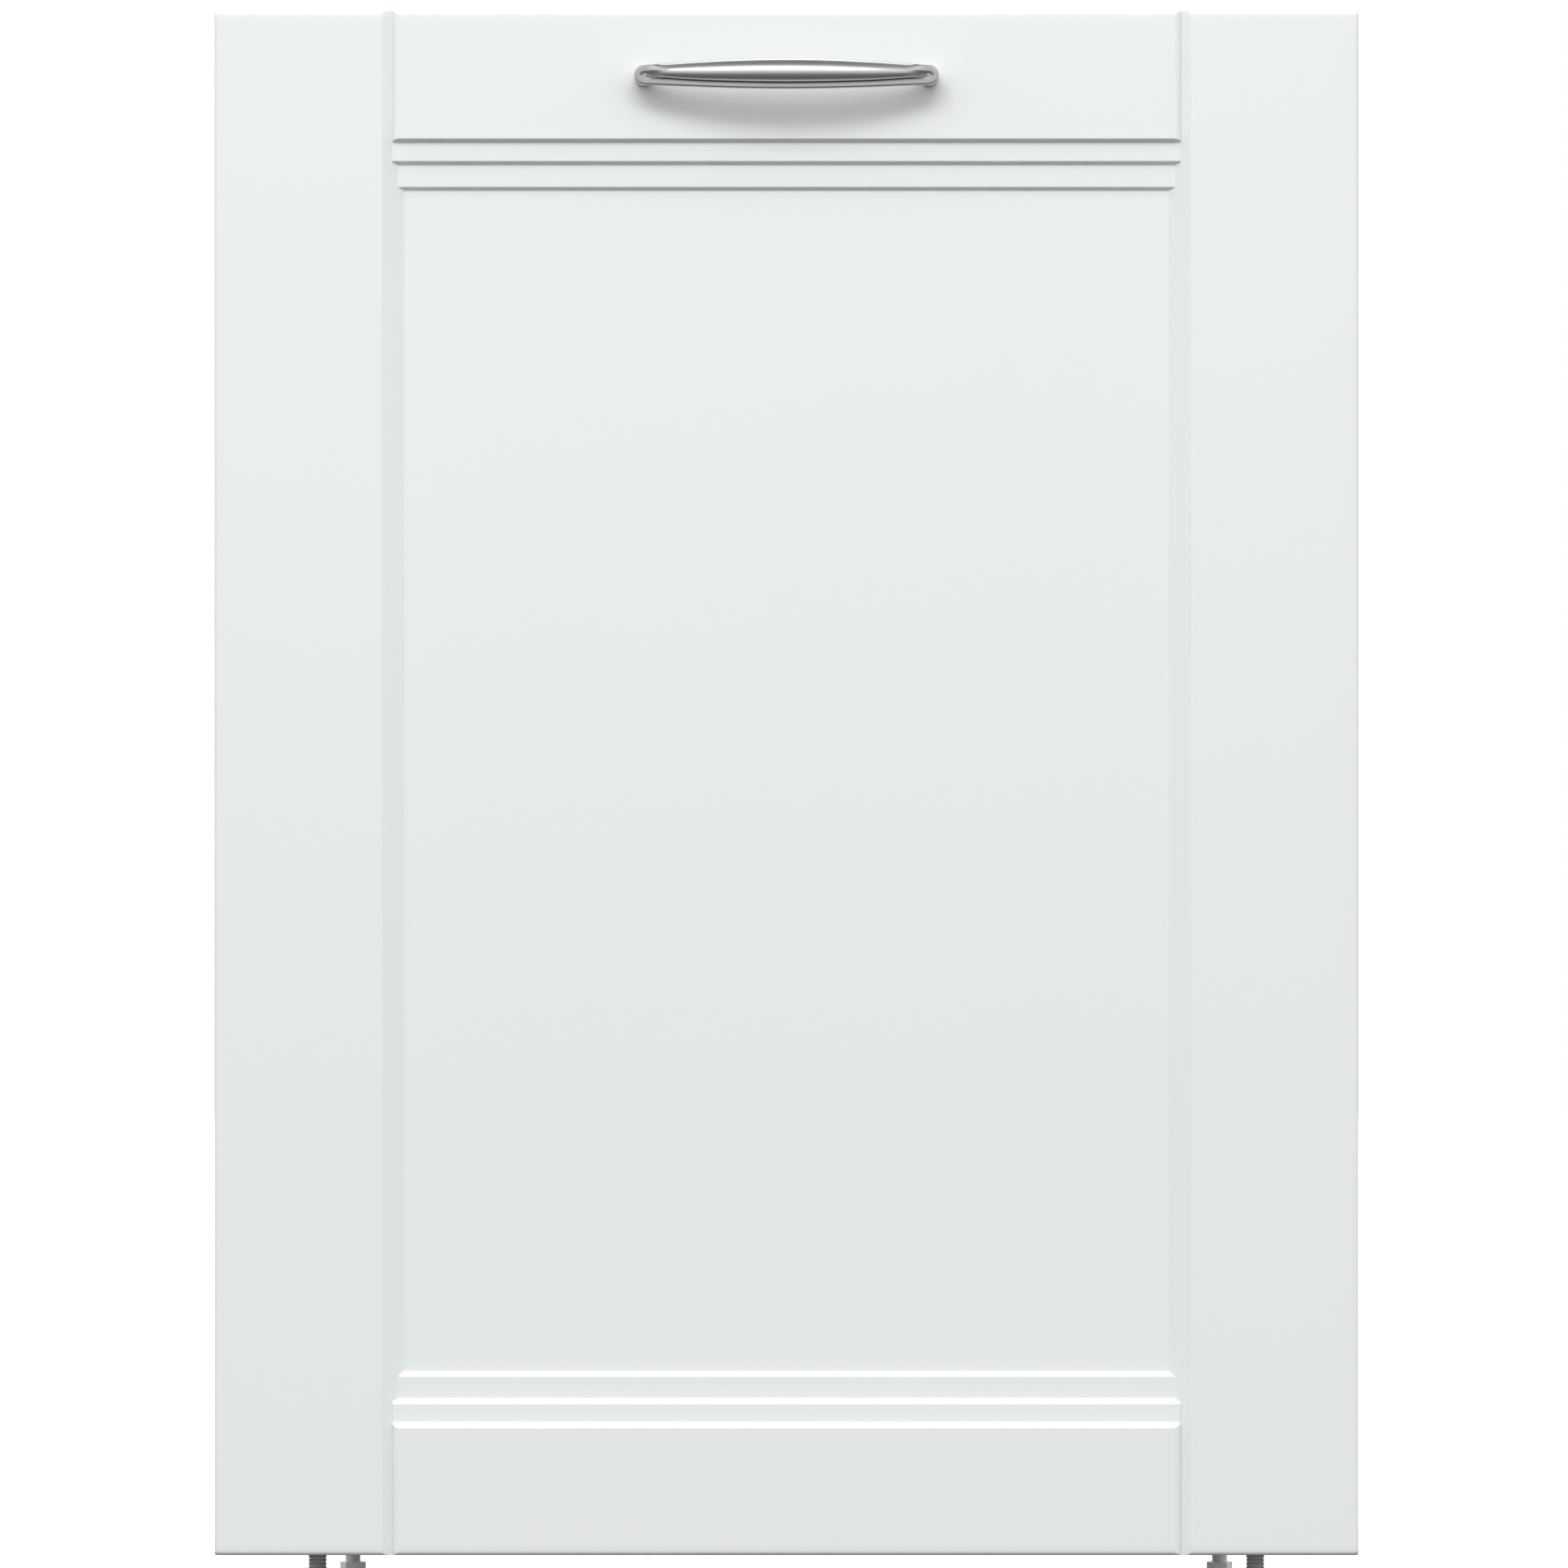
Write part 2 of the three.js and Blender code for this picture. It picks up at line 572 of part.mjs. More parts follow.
/** Cutlery basket: an open box with a carrying bar across its middle. */
function cutleryBasket() {
  const [x, y, z] = [[118, 238], [-158, 60], [LOWER.floor + WIRE + GAP, 312]];
  const inside = block([x[0] + 2, x[1] - 2], [y[0] + 2, y[1] - 2], [z[0] + 2, z[1] + 1]);
  return join(cut(block(x, y, z), inside), block(x, [-53, -45], [z[1] - 8, z[1]]));
}

/** Upper rack, with a runner bar at each side. */
function upperRackFrame() {
  const runners = [-1, 1].flatMap((side) => [
    block(onSide(side, [258, 272]), [-160, 240], [523, 543]),
    ...spread(-58, 148, 3).map((y) => block(onSide(side, [UPPER.half - 2, 259]), [y - 6, y + 6], [526, 540])),
  ]);
  return join(...wireBasket(UPPER, 5, 5, [540, UPPER.rim]), ...runners);
}

/** Folding cup shelf: a frame with three bars, hinged along its outer edge. */
function cupShelf(side) {
  const reach = 84;
  const x = onSide(side, [-reach, 0]);
  const bars = spread(-2, 208, 5).map((y) => block(x, [y, y + WIRE], [-2, 2]));
  const rails = [-reach, -reach / 2, -WIRE].map((at) => (
    block(onSide(side, [at, at + WIRE]), [-2, 212], [-2, 2])
  ));
  return join(...bars, ...rails);
}

/** Spray arm: two blades swept like a propeller, on a hub with a blind socket. */
function sprayArm(reach, hubDepth) {
  const outline = [
    [-18, -24], [60, -26], [reach - 12, -16], [reach, 4], [reach - 6, 20], [60, 22], [-18, 24],
  ];
  const blade = (sign) => plate('z', outline.map(([x, y]) => [x * sign, y * sign]), [0, 13]);
  const hub = rod('z', [0, 0], 24, [-hubDepth, 12], 24);
  const socket = rod('z', [0, 0], HUB.radius + 1, [-hubDepth - 1, 4], 20);
  return cut(join(blade(1), blade(-1), hub), socket);
}

/** Feed tube under the upper rack, from the docking port at the back to the arm's post. */
function upperFeed() {
  const tube = rod('y', [0, 459], 8, [HUB.y - 5, 264], 12);
  return join(tube, rod('z', [HUB.x, HUB.y], HUB.radius, [438, 466], 20));
}

function buildRacks() {
  const axleZ = FLOOR + LEDGE.rise + GAP + WHEEL.radius;
  const lower = new THREE.Group();
  lower.add(
    part('lower_rack', lowerRackFrame(), 'greyNylon'),
    part('cutlery_basket', cutleryBasket(), 'greyPlastic'),
    part('folding_tines_front', tineRow(330, 9), 'greyNylon', [-236, 70, LOWER.floor + WIRE + 2.6]),
    part('folding_tines_rear', tineRow(330, 9), 'greyNylon', [-236, 165, LOWER.floor + WIRE + 2.6]),
    part('lower_spray_arm', sprayArm(225, 12), 'greyPlastic', [HUB.x, HUB.y, 177]),
  );
  WHEEL.y.forEach((y, row) => SIDES.forEach(([label, side]) => {
    const name = `rack_wheel_${row ? 'rear' : 'front'}_${label}`;
    lower.add(part(name, rackWheel(), 'greyPlastic', [side * WHEEL.x, y, axleZ]));
  }));
  const upper = new THREE.Group();
  upper.add(
    part('upper_rack', upperRackFrame(), 'greyNylon'),
    part('upper_feed_tube', upperFeed(), 'greyPlastic'),
    part('upper_spray_arm', sprayArm(205, 10).rotateX(Math.PI), 'greyPlastic', [HUB.x, HUB.y, 433]),
    part('cutlery_tray', join(...wireBasket(TRAY, 4, 5, [TRAY.rim])), 'greyNylon'),
  );
  SIDES.forEach(([label, side]) => upper.add(
    part(`cup_shelf_${label}`, cupShelf(side), 'greyPlastic', [side * 238, -120, 545]),
  ));
  return [lower, upper];
}

const dishwasher = new THREE.Group();
dishwasher.add(buildCabinet(), buildDoor(), ...buildRacks());

export default dishwasher;
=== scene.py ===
"""Looks of a built-in dishwasher with a stile-and-rail kitchen front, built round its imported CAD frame."""

import logging
import math
from dataclasses import dataclass
from enum import Enum
from typing import Any, Callable, Iterable, Sequence

import bmesh
import bpy
import numpy as np
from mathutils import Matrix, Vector


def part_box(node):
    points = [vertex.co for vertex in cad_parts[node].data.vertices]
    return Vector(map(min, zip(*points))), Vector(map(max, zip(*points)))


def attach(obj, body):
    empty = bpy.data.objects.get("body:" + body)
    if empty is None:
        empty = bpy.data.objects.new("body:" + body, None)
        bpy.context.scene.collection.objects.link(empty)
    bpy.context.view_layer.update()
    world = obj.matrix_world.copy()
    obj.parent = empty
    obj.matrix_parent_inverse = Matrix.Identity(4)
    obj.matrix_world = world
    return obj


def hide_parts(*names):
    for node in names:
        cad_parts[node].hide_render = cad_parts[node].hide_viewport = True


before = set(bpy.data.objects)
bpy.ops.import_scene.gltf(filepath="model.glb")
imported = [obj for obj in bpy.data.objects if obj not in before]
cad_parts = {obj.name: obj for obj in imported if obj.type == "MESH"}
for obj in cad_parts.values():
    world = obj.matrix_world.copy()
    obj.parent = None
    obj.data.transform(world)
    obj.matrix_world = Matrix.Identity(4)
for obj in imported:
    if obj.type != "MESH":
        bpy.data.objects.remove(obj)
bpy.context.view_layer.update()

logging.basicConfig(level=logging.INFO, format="%(message)s")
log = logging.getLogger("dishwasher")

MM = 0.001
QUARTER = math.pi / 2
Point = tuple[float, float, float]


def corners(node: str) -> tuple[Vector, Vector]:
    """Lowest and highest corner of a CAD node.

    Args:
        node: the node's name.
    Returns:
        Two vectors in metres.
    """
    low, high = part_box(node)
    return Vector(low), Vector(high)


# ---------------- node trees


class Value:
    """A shader socket that arithmetic can be written on."""

    def __init__(self, graph: "Graph", socket: bpy.types.NodeSocket) -> None:
        """Keeps the graph and the output socket."""
        self.graph = graph
        self.socket = socket

    def _math(self, operation: str, first: Any, second: Any = 0.0, clamp: bool = False) -> "Value":
        """Adds a Math node.

        Args:
            operation: Blender's name of the operation.
            first: a number or a Value.
            second: a number or a Value.
            clamp: whether the result is kept between 0 and 1.
        Returns:
            The result as a Value.
        """
        settings = {"operation": operation, "use_clamp": clamp}
        return self.graph.node("ShaderNodeMath", settings, {0: first, 1: second})

    def __add__(self, other: Any) -> "Value":
        """Sum."""
        return self._math("ADD", self, other)

    def __radd__(self, other: Any) -> "Value":
        """Sum with a number on the left."""
        return self._math("ADD", other, self)

    def __sub__(self, other: Any) -> "Value":
        """Difference."""
        return self._math("SUBTRACT", self, other)

    def __rsub__(self, other: Any) -> "Value":
        """Difference with a number on the left."""
        return self._math("SUBTRACT", other, self)

    def __mul__(self, other: Any) -> "Value":
        """Product."""
        return self._math("MULTIPLY", self, other)

    def __rmul__(self, other: Any) -> "Value":
        """Product with a number on the left."""
        return self._math("MULTIPLY", other, self)

    def between(self, low: float, high: float) -> "Value":
        """Stretches low..high to 0..1 and clamps it."""
        return self._math("MULTIPLY", self - low, 1.0 / (high - low), clamp=True)


class Graph:
    """A material's node tree with a short way to add nodes."""

    def __init__(self, name: str) -> None:
        """Makes an empty material.

        Args:
            name: the material's name.
        """
        self.material = bpy.data.materials.new(name)
        self.material.use_nodes = True
        self.tree = self.material.node_tree
        self.tree.nodes.clear()
        self.shader = self.tree.nodes.new("ShaderNodeBsdfPrincipled")
        output = self.tree.nodes.new("ShaderNodeOutputMaterial")
        self.tree.links.new(self.shader.outputs[0], output.inputs[0])

    def feed(self, target: bpy.types.NodeSocket, value: Any) -> None:
        """Puts a value or a link into an input socket."""
        if isinstance(value, Value):
            self.tree.links.new(value.socket, target)
        else:
            target.default_value = value

    def node(
        self, kind: str, settings: dict[str, Any], inputs: dict[Any, Any], output: Any = 0
    ) -> Value:
        """Adds any node.

        Args:
            kind: the node's type name.
            settings: properties set before the sockets; "stops" sets a ramp's stops.
            inputs: socket name or number to a value or a Value.
            output: which output to hand back.
        Returns:
            The chosen output as a Value.
        """
        made = self.tree.nodes.new(kind)
        for key, setting in settings.items():
            if key == "stops":
                ramp = made.color_ramp
                for stop, (at, shade) in zip(_ramp_stops(ramp, len(setting)), setting):
                    stop.position = at
                    stop.color = (*shade, 1.0)
            else:
                setattr(made, key, setting)
        for key, value in inputs.items():
            self.feed(made.inputs[key], value)
        return Value(self, made.outputs[output])

    def place(self, stretch: Point = (1.0, 1.0, 1.0)) -> Value:
        """Object coordinates, stretched along each axis."""
        where = self.node("ShaderNodeTexCoord", {}, {}, "Object")
        return self.node("ShaderNodeMapping", {}, {"Vector": where, "Scale": stretch})

    def noise(self, scale: float, detail: float = 3.0, stretch: Point = (1.0, 1.0, 1.0)) -> Value:
        """Soft noise between 0 and 1.

        Args:
            scale: cycles to the metre.
            detail: how many finer layers.
            stretch: factor on each axis.
        Returns:
            The noise value.
        """
        return self.node(
            "ShaderNodeTexNoise", {}, {"Vector": self.place(stretch), "Scale": scale, "Detail": detail}
        )

    def mix(self, factor: Any, dark: Sequence[float], light: Sequence[float]) -> Value:
        """Mixes two colours by a factor."""
        return self.node(
            "ShaderNodeMix", {"data_type": "RGBA"}, {0: factor, 6: (*dark, 1.0), 7: (*light, 1.0)}, 2
        )

    def bump(self, height: Value, strength: float, distance: float) -> None:
        """Sends a height to the shader's normal through a Bump node."""
        normal = self.node(
            "ShaderNodeBump", {}, {"Height": height, "Strength": strength, "Distance": distance}
        )
        self.feed(self.shader.inputs["Normal"], normal)

    def set(self, **sockets: Any) -> None:
        """Sets the shader's sockets; an underscore stands for a space."""
        for key, value in sockets.items():
            self.feed(self.shader.inputs[key.replace("_", " ")], value)


def _ramp_stops(ramp: bpy.types.ColorRamp, count: int) -> list[bpy.types.ColorRampElement]:
    """Gives a ramp the wanted number of stops and returns them."""
    while len(ramp.elements) < count:
        ramp.elements.new(1.0)
    return list(ramp.elements)


# ---------------- finishes


@dataclass(frozen=True)
class Lacquer:
    """Sprayed satin lacquer: faint orange peel, a whisper of uneven sheen, a soft coat."""

    name: str = "satin_lacquer"
    shade: Point = (0.85, 0.88, 0.86)
    roughness: float = 0.42

    def make(self) -> bpy.types.Material:
        """Builds the material."""
        g = Graph(self.name)
        drift = g.noise(3.0, 2.0)
        g.set(
            Base_Color=g.mix(drift, tuple(c * 0.985 for c in self.shade), self.shade),
            Roughness=g.noise(40.0, 4.0) * 0.06 + (self.roughness - 0.03),
            Coat_Weight=0.25,
            Coat_Roughness=0.3,
        )
        g.bump(g.noise(900.0, 2.0), 0.05, 0.0004)
        return g.material


@dataclass(frozen=True)
class BrushedMetal:
    """Metal sheet or casting with a fine straight grain."""

    name: str
    shade: Point
    roughness: float = 0.3
    grain: Point = (6.0, 6.0, 900.0)
    grain_depth: float = 0.12
    cloud: float = 0.04
    spread: float = 0.16

    def make(self) -> bpy.types.Material:
        """Builds the material."""
        g = Graph(self.name)
        streak = g.noise(1.0, 6.0, self.grain)
        stain = g.noise(5.0, 3.0)
        g.set(
            Base_Color=g.mix(stain, tuple(c * (1 - self.cloud) for c in self.shade), self.shade),
            Metallic=1.0,
            Roughness=streak * self.spread + stain * 0.06 + (self.roughness - 0.1),
        )
        g.bump(streak, self.grain_depth, 0.0002)
        return g.material


@dataclass(frozen=True)
class Spangle:
    """Zinc-coated steel with its faint crystal flowers."""

    name: str = "zinc_spangle"
    shade: Point = (0.60, 0.62, 0.64)

    def make(self) -> bpy.types.Material:
        """Builds the material."""
        g = Graph(self.name)
        cells = g.node(
            "ShaderNodeTexVoronoi", {}, {"Vector": g.place(), "Scale": 210.0}, "Color"
        )
        flake = g.node("ShaderNodeSeparateColor", {}, {0: cells})
        g.set(
            Base_Color=g.mix(flake, tuple(c * 0.9 for c in self.shade), self.shade),
            Metallic=0.75,
            Roughness=flake * 0.1 + g.noise(8.0) * 0.08 + 0.42,
        )
        g.bump(g.noise(300.0, 3.0), 0.06, 0.0003)
        return g.material


@dataclass(frozen=True)
class Moulded:
    """Injection-moulded plastic with a fine spark-eroded texture."""

    name: str
    shade: Point
    roughness: float = 0.5
    texture: float = 0.14
    pitch: float = 1400.0

    def make(self) -> bpy.types.Material:
        """Builds the material."""
        g = Graph(self.name)
        wear = g.noise(12.0, 4.0)
        g.set(
            Base_Color=g.mix(wear, tuple(c * 0.9 for c in self.shade), self.shade),
            Roughness=wear * 0.14 + (self.roughness - 0.07),
        )
        g.bump(g.noise(self.pitch, 2.0), self.texture, 0.0003)
        return g.material


@dataclass(frozen=True)
class Felt:
    """Matted fibre blanket on a bitumen sheet."""

    name: str = "bitumen_felt"
    shade: Point = (0.055, 0.055, 0.06)

    def make(self) -> bpy.types.Material:
        """Builds the material."""
        g = Graph(self.name)
        clump = g.noise(70.0, 6.0)
        fibre = g.noise(700.0, 3.0)
        g.set(
            Base_Color=g.mix(clump, tuple(c * 0.55 for c in self.shade), tuple(c * 1.7 for c in self.shade)),
            Roughness=0.95,
            Sheen_Weight=0.25,
        )
        g.bump(clump * 0.7 + fibre * 0.3, 0.7, 0.0025)
        return g.material


@dataclass(frozen=True)
class Board:
    """Green circuit board under clear coating."""

    name: str = "circuit_board"

    def make(self) -> bpy.types.Material:
        """Builds the material."""
        g = Graph(self.name)
        tracks = g.node(
            "ShaderNodeTexVoronoi", {"distance": "MANHATTAN"}, {"Vector": g.place(), "Scale": 260.0}
        )
        g.set(
            Base_Color=g.mix(tracks.between(0.2, 0.5), (0.02, 0.09, 0.04), (0.05, 0.24, 0.09)),
            Roughness=0.35 + tracks * 0.2,
            Coat_Weight=0.4,
        )
        return g.material


class Stock(Enum):
    """Every finish that the machine is made in."""

    LACQUER = Lacquer()
    NICKEL = BrushedMetal("satin_nickel", (0.56, 0.56, 0.56), 0.30, (160.0, 160.0, 160.0), 0.01, 0.02, 0.05)
    STAINLESS = BrushedMetal("brushed_stainless", (0.66, 0.67, 0.68), 0.3, (5.0, 5.0, 700.0))
    ZINC = Spangle()
    SPRING_STEEL = BrushedMetal("spring_steel", (0.42, 0.43, 0.45), 0.38, (60.0, 60.0, 60.0))
    BLACK = Moulded("black_moulding", (0.022, 0.023, 0.026), 0.48)
    GREY = Moulded("grey_moulding", (0.33, 0.36, 0.39), 0.46)
    PALE = Moulded("pale_moulding", (0.72, 0.74, 0.74), 0.42)
    BLUE = Moulded("blue_moulding", (0.06, 0.17, 0.38), 0.4)
    KEY = Moulded("key_moulding", (0.50, 0.52, 0.54), 0.35, 0.08)
    NYLON = Moulded("nylon_coating", (0.47, 0.50, 0.53), 0.36, 0.05, 700.0)
    FELT = Felt()
    RUBBER = Moulded("seal_rubber", (0.028, 0.028, 0.030), 0.72, 0.2, 2000.0)
    SMOKED = Moulded("smoked_cover", (0.008, 0.009, 0.012), 0.12, 0.01)
    BOARD = Board()


_made: dict[Stock, bpy.types.Material] = {}


def finish_of(stock: Stock) -> bpy.types.Material:
    """The material of a finish, built once."""
    if stock not in _made:
        _made[stock] = stock.value.make()
    return _made[stock]


def dress(obj: bpy.types.Object, stock: Stock) -> None:
    """Gives an object one finish all over."""
    obj.data.materials.clear()
    obj.data.materials.append(finish_of(stock))


# ---------------- mesh making


def link(obj: bpy.types.Object) -> None:
    """Puts an object into the scene."""
    bpy.context.scene.collection.objects.link(obj)


def new_piece(name: str, mesh: bpy.types.Mesh, stock: Stock, sharp: float = 35.0) -> bpy.types.Object:
    """Links a mesh as a finished piece.

    Args:
        name: the piece's name.
        mesh: its mesh, in place.
        stock: its finish.
        sharp: edges steeper than this many degrees stay sharp.
    Returns:
        The new object.
    """
    obj = bpy.data.objects.new(name, mesh)
    link(obj)
    dress(obj, stock)
    mesh.shade_smooth()
    mesh.set_sharp_from_angle(angle=math.radians(sharp))
    return obj


def mesh_from(name: str, points: Sequence[Sequence[float]], faces: Sequence[Sequence[int]]) -> bpy.types.Mesh:
    """Makes a mesh from points and faces that are already wound to point outwards."""
    mesh = bpy.data.meshes.new(name)
    mesh.from_pydata([tuple(p) for p in points], [], [tuple(f) for f in faces])
    mesh.update()
    return mesh


SLOT_NAMES: dict[Stock, str] = {
    Stock.NICKEL: "nickel", Stock.STAINLESS: "stainless", Stock.ZINC: "galvanised",
    Stock.SPRING_STEEL: "galvanised", Stock.BLACK: "black_plastic", Stock.GREY: "grey_plastic",
    Stock.KEY: "grey_plastic", Stock.PALE: "white_plastic", Stock.BLUE: "blue_plastic",
    Stock.NYLON: "nylon", Stock.FELT: "felt", Stock.RUBBER: "rubber",
}


def fit(obj: bpy.types.Object, body: str, slot: str, *nodes: str) -> None:
    """Rides a piece on a body and hides the CAD nodes that it stands for."""
    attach(obj, body)
    if nodes:
        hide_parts(*nodes)
    log.info("%s: %d faces on %s", obj.name, len(obj.data.polygons), body)


def place(
    name: str, shape: "Form | bpy.types.Mesh", stock: Stock, body: str, *nodes: str,
    slot: str | None = None, sharp: float = 35.0
) -> bpy.types.Object:
    """Makes a piece, rides it on its body and hides the CAD nodes that it stands for.

    Args:
        name: the piece's name.
        shape: its form or its mesh, in place.
        stock: its finish.
        body: the body that it moves with.
        nodes: the CAD nodes that it stands for.
        slot: its slot, where that isn't the finish's usual one.
        sharp: edges steeper than this many degrees stay sharp.
    Returns:
        The new object.
    """
    piece = new_piece(name, plain_mesh(name, shape), stock, sharp)
    fit(piece, body, slot or SLOT_NAMES[stock], *nodes)
    return piece


# ---------------- kitchen front


@dataclass
class KitchenFront:
    """Lacquered front: stiles with a sloped inner edge, rails, and a stepped moulding round a sunk field."""

    node: str = "custom_front_panel"
    stile_edge: float = 210.7 * MM
    slope_foot: float = 199.3 * MM
    field_depth: float = 9.0 * MM
    groove: float = 205.5 * MM
    rail_round: float = 3.9 * MM
    steps_top: tuple[float, ...] = (67.8 * MM, 79.3 * MM, 92.6 * MM)
    steps_bottom: tuple[float, ...] = (67.8 * MM, 80.1 * MM, 94.2 * MM)
    step_depths: tuple[float, ...] = (3.4 * MM, 6.3 * MM, 9.0 * MM)
    riser_top: float = 1.5 * MM
    riser_bottom: float = 2.5 * MM
    edge_round: float = 2.4 * MM
    blend: float = 0.5 * MM

    def __post_init__(self) -> None:
        """Reads the front's box from the frame."""
        self.low, self.high = corners(self.node)

    def lines_across(self) -> np.ndarray:
        """Grid lines along x: close together at the outer edge and over the groove."""
        half = self.high.x
        edge = half - self.edge_round * (1 - np.cos(np.linspace(0, QUARTER, 7)))
        stile = np.linspace(self.stile_edge + 1.5 * MM, half - self.edge_round, 8)
        groove = np.linspace(self.slope_foot - 1.5 * MM, self.stile_edge + 1.5 * MM, 42)
        middle = np.linspace(0.0, self.slope_foot - 1.5 * MM, 14)
        right = np.unique(np.round(np.concatenate([edge, stile, groove, middle]), 6))
        return np.concatenate([-right[:0:-1], right])

    def lines_up(self) -> np.ndarray:
        """Grid lines along z: close together at the outer edges and over each riser."""
        low, high = self.low.z, self.high.z
        turn = self.edge_round * (1 - np.cos(np.linspace(0, QUARTER, 7)))
        stops = [low + turn, high - turn]
        centres = [low + s for s in self.steps_bottom] + [high - s for s in self.steps_top]
        for centre in centres:
            stops.append(centre + np.linspace(-0.8, 0.8, 21) * self.riser_bottom)
        edges = sorted([low + self.edge_round, high - self.edge_round, *centres])
        for start, stop in zip(edges[:-1], edges[1:]):
            inset = self.riser_bottom if stop - start > 3 * self.riser_bottom else 0.0
            stops.append(np.linspace(start + inset, stop - inset, 9))
        return np.unique(np.round(np.concatenate(stops), 6))

    def soft_min(self, first: np.ndarray, second: np.ndarray) -> np.ndarray:
        """Smaller of two depths, rounded where they cross."""
        h = np.clip(0.5 + 0.5 * (second - first) / self.blend, 0.0, 1.0)
        return second * (1 - h) + first * h - self.blend * h * (1 - h)

    def ramp(self, along: np.ndarray) -> np.ndarray:
        """Straight slope from 0 to 1 over -0.5..0.5, softened at both ends."""
        soft = 0.16
        t = np.clip(along + 0.5, -soft, 1 + soft)
        foot = np.where(t < soft, (t + soft) ** 2 / (4 * soft), t)
        return np.where(t > 1 - soft, 1 - (1 + soft - t) ** 2 / (4 * soft), foot)

    def terraces(self, z: np.ndarray) -> np.ndarray:
        """Depth of rails, ledges and field at each height.

        Args:
            z: heights in metres.
        Returns:
            Depth behind the face in metres.
        """
        depth = np.zeros_like(z)
        previous = 0.0
        for bottom, top, level in zip(self.steps_bottom, self.steps_top, self.step_depths):
            from_bottom = (z - (self.low.z + bottom)) / self.riser_bottom
            from_top = ((self.high.z - top) - z) / self.riser_top
            depth += (level - previous) * self.ramp(from_bottom) * self.ramp(from_top)
            previous = level
        return depth

    def depth(self, x: np.ndarray, z: np.ndarray) -> np.ndarray:
        """Depth of the whole face behind its highest plane."""
        u = np.abs(x)
        run = self.stile_edge - self.slope_foot
        slope = np.clip((self.stile_edge - u) / run, 0.0, 1.0) * self.field_depth
        drop = self.field_depth * (self.stile_edge - self.groove) / run
        near = np.clip((u - (self.groove - self.rail_round)) / self.rail_round, 0.0, 1.0)
        rail_end = drop * (1 - np.sqrt(1 - near**2))
        inner = np.maximum(self.terraces(z), rail_end)
        body = self.soft_min(slope, np.where(u > self.groove, 1.0, inner))
        body = np.where(u >= self.stile_edge + self.blend, 0.0, np.maximum(body, 0.0))
        r = self.edge_round
        side = np.clip(u - (self.high.x - r), 0.0, r)
        ends = np.clip(np.maximum(z - (self.high.z - r), (self.low.z + r) - z), 0.0, r)
        out = np.minimum(np.hypot(side, ends), r)
        return np.maximum(body, r - np.sqrt(r * r - out * out))

    def build(self) -> bpy.types.Object:
        """Builds the front as one closed slab."""
        xs, zs = self.lines_across(), self.lines_up()
        gx, gz = np.meshgrid(xs, zs)
        gy = self.low.y + self.depth(gx, gz)
        points = list(np.stack([gx, gy, gz], axis=-1).reshape(-1, 3))
        nx, nz = len(xs), len(zs)
        faces = [
            (r * nx + c, r * nx + c + 1, (r + 1) * nx + c + 1, (r + 1) * nx + c)
            for r in range(nz - 1) for c in range(nx - 1)
        ]
        rim = list(range(nx))
        rim += [r * nx + nx - 1 for r in range(1, nz)]
        rim += [(nz - 1) * nx + c for c in range(nx - 2, -1, -1)]
        rim += [r * nx for r in range(nz - 2, 0, -1)]
        start = len(points)
        points += [(points[i][0], self.high.y, points[i][2]) for i in rim]
        count = len(rim)
        for i, front_point in enumerate(rim):
            after = (i + 1) % count
            faces.append((rim[after], front_point, start + i, start + after))
        faces.append(tuple(start + i for i in range(count)))
        mesh = mesh_from(self.node, points, faces)
        return place("kitchen_front", mesh, Stock.LACQUER, "door", self.node, slot="front", sharp=50.0)


# ---------------- bow pull


def loft(rings: Sequence[Sequence[Point]]) -> tuple[list[Point], list[tuple[int, ...]]]:
    """Skins a row of equal rings and closes both ends.

    Args:
        rings: cross-sections, each with the same number of points.
    Returns:
        Points and faces.
    """
    count = len(rings[0])
    points = [p for ring in rings for p in ring]
    faces: list[tuple[int, ...]] = []
    for r in range(len(rings) - 1):
        for i in range(count):
            j = (i + 1) % count
            faces.append((r * count + i, r * count + j, (r + 1) * count + j, (r + 1) * count + i))
    faces.append(tuple(range(count))[::-1])
    faces.append(tuple((len(rings) - 1) * count + i for i in range(count)))
    return points, faces


